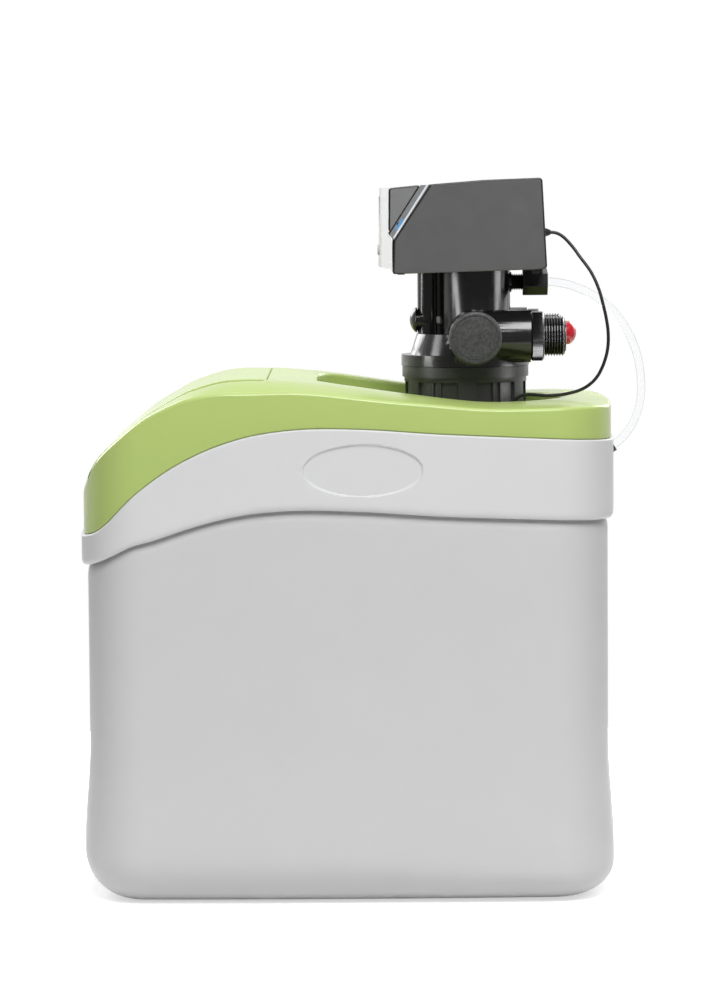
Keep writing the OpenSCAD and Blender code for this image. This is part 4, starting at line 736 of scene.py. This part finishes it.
def buildLid():
    half, e, first = lid["half"], lid["edge"], lid["edgeStart"]
    cols, rows = lid["cols"], lid["rows"]
    hingeY, hingeZ = lid["hinge"]
    xs = [-half, -half + first, -half + e]
    xs += [(-half + e) + 2 * (half - e) * i / cols for i in range(1, cols)]
    xs += [half - e, half - first, half]

    def column(x):
        y0 = frontEdge(x, lid["front"])
        ys = [y0, y0 + first, y0 + e]
        ys += [y0 + e + (hingeY - y0 - e) * (i / rows) ** lid["crowd"] for i in range(1, rows + 1)]
        out = []
        for y in ys:
            near = min(half - abs(x), y - y0)
            k = max(1 - near / e, 0)
            out.append((x, y, deckAt(y) - e * (1 - math.sqrt(max(1 - k * k, 0)))))
        return out
    top = [column(x) for x in xs]
    m = len(top[0])
    verts = [p for c in top for p in c]
    faces = []
    for i in range(len(xs) - 1):
        for j in range(m - 1):
            a, b = i * m + j, (i + 1) * m + j
            faces.append((a, b, b + 1, a + 1))
    base = len(verts)
    for c in top:
        for j, (x, y, z) in enumerate(c):
            a, b = c[max(j - 1, 0)], c[min(j + 1, m - 1)]
            run = math.hypot(b[1] - a[1], b[2] - a[2]) or 1
            ny, nz = -(b[2] - a[2]) / run, (b[1] - a[1]) / run
            grown = ease((y + hy - lid["thinTo"]) / lid["thickRun"])
            t = lid["thinEdge"] + (lid["thick"] - lid["thinEdge"]) * grown
            back = min((y - c[0][1]) / lid["straight"], 1)  # straight down at the front edge
            verts.append((x, y - t * ny * back, deckAt(y) - t * (1 - back + nz * back)))
    faces += [tuple(base + q for q in reversed(f)) for f in faces]
    edge = [i * m for i in range(len(xs))] + [(len(xs) - 1) * m + j for j in range(1, m)]
    edge += [i * m + m - 1 for i in range(len(xs) - 2, -1, -1)] + [j for j in range(m - 2, 0, -1)]
    for i in range(len(edge)):
        a, b = edge[i], edge[(i + 1) % len(edge)]
        faces.append((a, b, base + b, base + a))
    # hinge barrel, stepped into knuckles
    v, f = hingeBarrel()
    start = len(verts)
    verts += [(z, hingeY + a, hingeZ + b) for a, b, z in v]
    faces += [tuple(start + q for q in g) for g in f]
    addPiece("saltLid", verts, faces, finish["lid"], "lid", ("salt_lid",), sharp=40)


buildLid()
print("lid built")

# control head
head = {"at": (108.6, 517.5), "half": 65.0, "wall": 2.5, "fasciaWall": 1.0,
        "housing": [(-69.6, -2.4), (-68.6, 25.5), (-38, 71.5), (8, 75), (54.7, 76.5), (58.5, 0.9)],
        "housingRound": [1.5, 2.5, 2.5, 12, 3, 3],
        "fascia": [(-72.2, 68.6), (-46.1, 71.1), (-72.6, 30)], "fasciaRound": [2.5, 1.2, 1.2],
        "edge": 1.8, "cheekEdge": 1.3, "edgeSegments": 4,
        "pipe": [(-68.0, 27.0), (-39.6, 71.1)], "pipeWide": 1.5, "pipeHalf": 64.75, "pipeEdge": 0.25,
        "lensLong": 4.2, "lensHalf": 1.25, "lensFace": 64.85, "lensEdge": 0.3, "lensSteps": 24}


def roundCorners(pts, radii, steps=5, share=0.45):
    out, n = [], len(pts)
    for i in range(n):
        p, a, b = Vector(pts[i]), Vector(pts[i - 1]), Vector(pts[(i + 1) % n])
        toA, toB = (a - p).normalized(), (b - p).normalized()
        half = toA.angle(toB) / 2
        back = min(radii[i] / math.tan(half), share * (a - p).length, share * (b - p).length)
        r = back * math.tan(half)
        middle = p + (toA + toB).normalized() * (r / math.sin(half))
        start, end = p + toA * back - middle, p + toB * back - middle
        turn = start.angle_signed(end)
        for k in range(steps + 1):
            c, d = math.cos(-turn * k / steps), math.sin(-turn * k / steps)
            out.append((middle.x + start.x * c - start.y * d, middle.y + start.x * d + start.y * c))
    return out


def sideShell(name, pts, openEdge, mat, node, wall, edge):
    y0, z0 = head["at"]
    n = len(pts)
    verts = [(x, y0 + a, z0 + b) for x in (-head["half"], head["half"]) for a, b in pts]
    faces = [tuple(range(n)), tuple(range(n, 2 * n))]
    for i in range(n):
        if not (openEdge and i == n - 1):
            k = (i + 1) % n
            faces.append((i, k, n + k, n + i))
    piece = addPiece(name, verts, faces, mat, "cabinet", (node,), sharp=30)
    # the second material is painted shade: it darkens the rounded bevel faces along every outline
    piece.data.materials.append(finish["edgeShadePainted"])
    roundEdges(piece, edge, head["edgeSegments"]).material = 1
    wallMod = piece.modifiers.new("wall", "SOLIDIFY")
    wallMod.thickness = wall / 1000
    wallMod.offset = -1


def buildHead():
    housing = roundCorners(head["housing"], head["housingRound"])
    sideShell("headHousing", housing, True, finish["head"], "head_housing", head["wall"],
              head["edge"])
    fascia = roundCorners(head["fascia"], head["fasciaRound"])
    sideShell("frontFascia", fascia, False, finish["cheek"], "front_fascia",
              head["fasciaWall"], head["cheekEdge"])
    # white strip along the slanted joint, with a faint painted glow so it reads as a bright line
    y0, z0 = head["at"]
    (a0, b0), (a1, b1) = head["pipe"]
    run = math.hypot(a1 - a0, b1 - b0)
    uy, uz = (a1 - a0) / run, (b1 - b0) / run
    ay, az = -uz * head["pipeWide"], uy * head["pipeWide"]
    outline = [(a0, b0), (a1, b1), (a1 + ay, b1 + az), (a0 + ay, b0 + az)]
    verts = [(x, y0 + a, z0 + b) for x in (-head["pipeHalf"], head["pipeHalf"]) for a, b in outline]
    pipe = addPiece("glowPaintedStrip", verts, boxFaces, finish["pipe"], "cabinet")
    roundEdges(pipe, head["pipeEdge"])
    # long lens over the lamp, along the joint
    low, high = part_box("status_lamp")
    cy, cz = 500 * (low[1] + high[1]), 500 * (low[2] + high[2])
    n = head["lensSteps"]
    outline = []
    for k in range(n):
        a = 2 * math.pi * k / n
        along = head["lensHalf"] * math.cos(a) + math.copysign(head["lensLong"], math.cos(a))
        side = head["lensHalf"] * math.sin(a)
        outline.append((cy + along * uy - side * uz, cz + along * uz + side * uy))
    verts = [(x, y, z) for x in (low[0] * 1000, head["lensFace"]) for y, z in outline]
    faces = loftFaces(2, n) + [tuple(range(n)), tuple(range(n, 2 * n))]
    lens = addPiece("lampLens", verts, faces, finish["lamp"], "cabinet", ("status_lamp",))
    roundEdges(lens, head["lensEdge"])


buildHead()
print("head built")

# pieces that keep their solid's shape and get softened edges
softened = [
    ("light_band", "band", 0.5), ("front_bezel", "bezel", 0.8), ("display_window", "window", 0.3),
    ("head_base", "blackDull", 0.4), ("valve_body", "black", 0.8), ("neck_ring", "blackDull", 0.5),
    ("injector_plug", "black", 0.3),
    ("outlet_adaptor", "black", 0.15), ("inlet_adaptor", "black", 0.15), ("brine_fitting", "black", 0.15),
    ("brine_nut", "black", 0.5), ("drain_tail", "black", 0.4), ("bonnet", "black", 0.3),
    ("strain_relief", "rubber", 0.3), ("tube_bush", "rubber", 0.3), ("lead_grommet", "rubber", 0.3),
    ("brine_well", "well", 0.4), ("float_valve", "well", 0.4), ("vessel_foot", "blackDull", 0.6),
    ("resin_vessel", "vessel", 0.0), ("hinge_pins", "steel", 0.15),
]
for node, key, width in softened:
    softCopy(node, finish[key], "cabinet", width)
movers = [
    ("outlet_plug", "black", 0.3, "plug_out"), ("inlet_plug", "red", 0.4, "plug_in"),
    ("button_1", "key", 0.35, "key_1"), ("button_2", "key", 0.35, "key_2"),
    ("button_3", "key", 0.35, "key_3"), ("button_4", "key", 0.35, "key_4"),
    ("brine_well_cap", "well", 0.5, "well_cap"), ("float", "well", 0.6, "float_ring"),
]
for node, key, width, body in movers:
    softCopy(node, finish[key], body, width)
print("softened pieces:", len(softened) + len(movers))

# side caps with a ring groove near the rim
sideCap = {"thick": 7.0, "plugRadius": 14.7, "plugEnd": -13.0, "ringAt": (-8.0, -5.0), "ringRadius": 12.1,
           "rim": [(0, 4.9), (-0.15, 5.6), (-0.6, 6.3), (-1.3, 6.8), (-2.1, 7.0), (-3.1, 7.0), (-3.4, 6.4),
                   (-4.1, 6.4), (-4.5, 6.7)],
           "crown": [(0.5, 6.9), (0, 7.0)], "steps": 72}


def buildCaps():
    a, d, end = sideCap["plugRadius"], sideCap["ringRadius"], sideCap["plugEnd"]
    b, c = sideCap["ringAt"]
    for node, s in (("side_cap_near", 1), ("side_cap_far", -1)):
        low, high = ([1000 * c for c in p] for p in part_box(node))
        face = high[0] - sideCap["thick"] if s > 0 else low[0] + sideCap["thick"]
        cy, cz, r = (low[1] + high[1]) / 2, (low[2] + high[2]) / 2, (high[2] - low[2]) / 2
        profile = [(0, end), (a, end), (a, b), (d, b), (d, c), (a, c), (a, 0), (r, 0)]
        profile += [(r + k, h) for k, h in sideCap["rim"]] + [(r * k, h) for k, h in sideCap["crown"]]
        ring, faces = lathe(profile, sideCap["steps"])
        verts = [(face + s * z, cy + x, cz + y) for x, y, z in ring]
        addPiece(node + "Soft", verts, faces, finish["capDull"], "cabinet", (node,))


buildCaps()
print("side caps built")

# inner pieces keep their solids
inside = {
    "riser_tube": "natural", "bottom_basket": "natural", "top_basket": "natural", "resin_bed": "resin",
    "neck_o_ring": "rubber", "side_cap_o_rings": "rubber", "adaptor_o_rings": "rubber",
    "seal_rings": "rubber", "injector_nozzle": "natural", "piston": "natural", "seal_cage": "natural",
    "flow_turbine": "natural", "display_module": "display", "circuit_board": "board",
    "head_screws": "steel", "drive_gear": "gear", "motor_pinion": "brass", "drive_motor": "motor",
}
for node, key in inside.items():
    mesh = nodes[node].data
    mesh.materials.clear()
    mesh.materials.append(finish[key])
print("inner pieces dressed:", len(inside))

# brine tube and control lead, on the routes of their solids
tubing = {"diameter": 7.0, "route": [
    (0, 162, 506.4), (0, 172, 506.4), (0, 184, 504.7), (0, 196, 501), (0, 208, 495.2), (0, 219, 487.4),
    (-0.5, 228.5, 478), (-1, 236, 467.4), (-2, 242, 455.4), (-3.5, 246.5, 442), (-6, 249, 428),
    (-9, 249.8, 414), (-12.5, 248.4, 400.6), (-16, 244.6, 388.4), (-18.8, 238.6, 377.8), (-20, 231, 369.8),
    (-20, 221, 363), (-20, 211, 356.2), (-23, 202.5, 351.6), (-32, 198, 349.2), (-46, 192.5, 348),
    (-61, 185, 347.2), (-76, 175, 346.6), (-90, 161, 346), (-102, 145, 345.5), (-111, 127, 345),
    (-116.5, 108, 344.5), (-118.375, 89, 344), (-119.25, 70, 343.5), (-119.125, 51, 343),
    (-118, 32, 342.5), (-117, 17, 342), (-114.5, 3.5, 341.5), (-107.5, -8.5, 341), (-98.5, -16.5, 340.5),
    (-89.5, -24.5, 340.2), (-82.5, -36.5, 340), (-80, -50, 340)]}
wiring = {"diameter": 2.8, "route": [
    (48, 170.6, 548.6), (48.1, 174.5, 548.2), (48.5, 178.6, 546.5), (49.2, 182.6, 543.4),
    (50.2, 186.3, 539.4), (51.6, 190.4, 534.4), (54.5, 194.2, 528.8), (57, 199.1, 522.2),
    (59.3, 203.5, 515.6), (63, 209.4, 502.4), (65.5, 213, 489.2), (67, 215.8, 476), (68, 217.1, 463.6),
    (68, 216.5, 452), (68, 214.3, 442.9), (68, 211.4, 435.5), (67.5, 207.3, 428.4), (66.5, 201.9, 422.9),
    (65, 195, 418.6), (63, 185.5, 415.5), (60.5, 175.7, 413.8), (58, 166.7, 413.2), (55, 158.5, 413.6),
    (52.3, 152, 413.9), (50.8, 146.4, 413.1), (49.6, 142, 410.5), (48.7, 139, 406.3), (48, 138, 400.5),
    (48, 138, 395), (48, 138, 389)]}
cordMesh = {"fill": 0.985, "around": 4, "along": 6}


def layCord(name, spec, mat, node):
    curve = bpy.data.curves.new(name, "CURVE")
    curve.dimensions = "3D"
    curve.bevel_depth = cordMesh["fill"] * spec["diameter"] / 2000
    curve.bevel_resolution = cordMesh["around"]
    curve.resolution_u = cordMesh["along"]
    curve.use_fill_caps = True
    line = curve.splines.new("BEZIER")
    line.bezier_points.add(len(spec["route"]) - 1)
    for bp, p in zip(line.bezier_points, spec["route"]):
        bp.co = [c / 1000 for c in p]
        bp.handle_left_type = bp.handle_right_type = "AUTO"
    curve.materials.append(mat)
    piece = bpy.data.objects.new(name, curve)
    scene.collection.objects.link(piece)
    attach(piece, "cabinet")
    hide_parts(node)
    bpy.context.view_layer.update()


layCord("brineTube", tubing, finish["tube"], "brine_tube")
layCord("controlLead", wiring, finish["lead"], "control_lead")
print("cords laid")

# studio: white room, pale floor, soft boxes
studio = {"ambient": 0.20, "whiteFrom": 0.15, "whiteTo": -0.5, "aimAt": (0, 0, 0.25),
          "boxes": [("frontBox", (1.5, 0.22, 2.05), (1.2, 1.2), 48),
                    ("topBox", (-0.2, 0.0, 2.7), (1.6, 1.6), 15),
                    ("rearLeftBox", (-1.9, -1.4, 1.4), (1.3, 1.3), 25),
                    ("rearRightBox", (-1.9, 1.35, 1.4), (1.3, 1.3), 25)],
          "cards": [("leftCard", (0.8, -2.2, 0.9), (0.8, 1.5), 26),
                    ("rightCard", (0.4, 2.3, 0.9), (1.0, 1.5), 24)],
          "carded": ["valve_body", "outlet_adaptor", "inlet_adaptor", "brine_fitting", "brine_nut",
                     "injector_plug", "side_cap_near", "side_cap_far", "neck_ring", "drain_tail", "bonnet"]}
ground = {"tint": 0.90, "fibre": 220, "fibreTint": 0.02, "rough": 0.9, "reach": 0.95, "step": 5,
          "height": -0.0004, "near": (0.147, 0.226), "glowFrom": 0.985, "glowTo": 1.06, "glow": (0.55, 1.0)}


def seenNode(tree, path):
    return mathNode(tree, "MAXIMUM", (path, "Is Camera Ray"), (path, "Is Transmission Ray"))


def skyNode(tree, strength):
    node = tree.nodes.new("ShaderNodeBackground")
    node.inputs["Color"].default_value = (1, 1, 1, 1)
    node.inputs["Strength"].default_value = strength
    return node


def buildRoom():
    world = bpy.data.worlds.new("whiteRoom")
    scene.world = world
    world.use_nodes = True
    tree = world.node_tree
    tree.nodes.clear()
    path = tree.nodes.new("ShaderNodeLightPath")
    seen = seenNode(tree, path)
    # gloss sees the white wall behind the object
    coord = tree.nodes.new("ShaderNodeTexCoord")
    axes = tree.nodes.new("ShaderNodeSeparateXYZ")
    wire(tree, coord, "Generated", axes, 0)
    wall = rangeNode(tree, axes, "X", (studio["whiteFrom"], studio["whiteTo"]), "SMOOTHSTEP")
    gloss = mathNode(tree, "MULTIPLY", (path, "Is Glossy Ray"), (wall, "Result"))
    show = mathNode(tree, "MAXIMUM", (seen, 0), (gloss, 0))
    mix = tree.nodes.new("ShaderNodeMixShader")
    out = tree.nodes.new("ShaderNodeOutputWorld")
    wire(tree, show, 0, mix, 0)
    wire(tree, skyNode(tree, studio["ambient"]), 0, mix, 1)
    wire(tree, skyNode(tree, 1.0), 0, mix, 2)
    wire(tree, mix, 0, out, 0)


def paperFinish():
    mat = bpy.data.materials.new("palePaper")
    mat.use_nodes = True
    tree = mat.node_tree
    paper = tree.nodes["Principled BSDF"]
    coord = tree.nodes.new("ShaderNodeTexCoord")
    fibre = noiseNode(tree, coord, ground["fibre"])
    dark = ground["tint"]
    pale = dark + ground["fibreTint"]
    tone = rampNode(tree, fibre, "Fac", (0, (dark, dark, dark, 1)), (1, (pale, pale, pale, 1)))
    wire(tree, tone, "Color", paper, "Base Color")
    paper.inputs["Roughness"].default_value = ground["rough"]
    paper.inputs["Specular IOR Level"].default_value = 0.0
    # the glow keeps away from the object, so its shadow stays
    path = tree.nodes.new("ShaderNodeLightPath")
    seen = mathNode(tree, "MAXIMUM", (seenNode(tree, path), 0), (path, "Is Glossy Ray"))
    axes = tree.nodes.new("ShaderNodeSeparateXYZ")
    wire(tree, coord, "Object", axes, 0)
    away = []
    for i in range(2):
        size = mathNode(tree, "ABSOLUTE", (axes, i))
        away.append(mathNode(tree, "DIVIDE", (size, 0), ground["near"][i]))
    far = mathNode(tree, "MAXIMUM", (away[0], 0), (away[1], 0))
    fade = rangeNode(tree, far, 0, (ground["glowFrom"], ground["glowTo"], *ground["glow"]), "SMOOTHSTEP")
    lift = mathNode(tree, "MULTIPLY", (seen, 0), (fade, "Result"))
    glow = tree.nodes.new("ShaderNodeEmission")
    glow.inputs["Color"].default_value = (1, 1, 1, 1)
    wire(tree, lift, 0, glow, "Strength")
    both = tree.nodes.new("ShaderNodeAddShader")
    wire(tree, paper, 0, both, 0)
    wire(tree, glow, 0, both, 1)
    wire(tree, both, 0, tree.nodes["Material Output"], 0)
    return mat


def buildFloor():
    mesh = bpy.data.meshes.new("paleFloor")
    rim = [(x, y, 0) for x, y in roundLoop((0, 0), ground["reach"], ground["step"])]
    mesh.from_pydata(rim, [], [tuple(range(len(rim)))])
    mesh.materials.append(paperFinish())
    floor = bpy.data.objects.new("paleFloor", mesh)
    floor.location.z = ground["height"]
    scene.collection.objects.link(floor)


def hangLights():
    blackParts = bpy.data.collections.new("blackParts")
    for node in studio["carded"]:
        blackParts.objects.link(bpy.data.objects[node + "Soft"])
    for name, place, sides, power in studio["boxes"] + studio["cards"]:
        lamp = bpy.data.lights.new(name, "AREA")
        lamp.shape = "RECTANGLE"
        lamp.size, lamp.size_y = sides
        lamp.energy = power
        box = bpy.data.objects.new(name, lamp)
        box.location = place
        aim = Vector(studio["aimAt"]) - Vector(place)
        box.rotation_euler = aim.to_track_quat("-Z", "Y").to_euler()
        if name.endswith("Card"):  # cards only show as highlights on the black valve
            box.visible_diffuse = False
            box.light_linking.receiver_collection = blackParts
        scene.collection.objects.link(box)


buildRoom()
buildFloor()
hangLights()
print("studio lit")
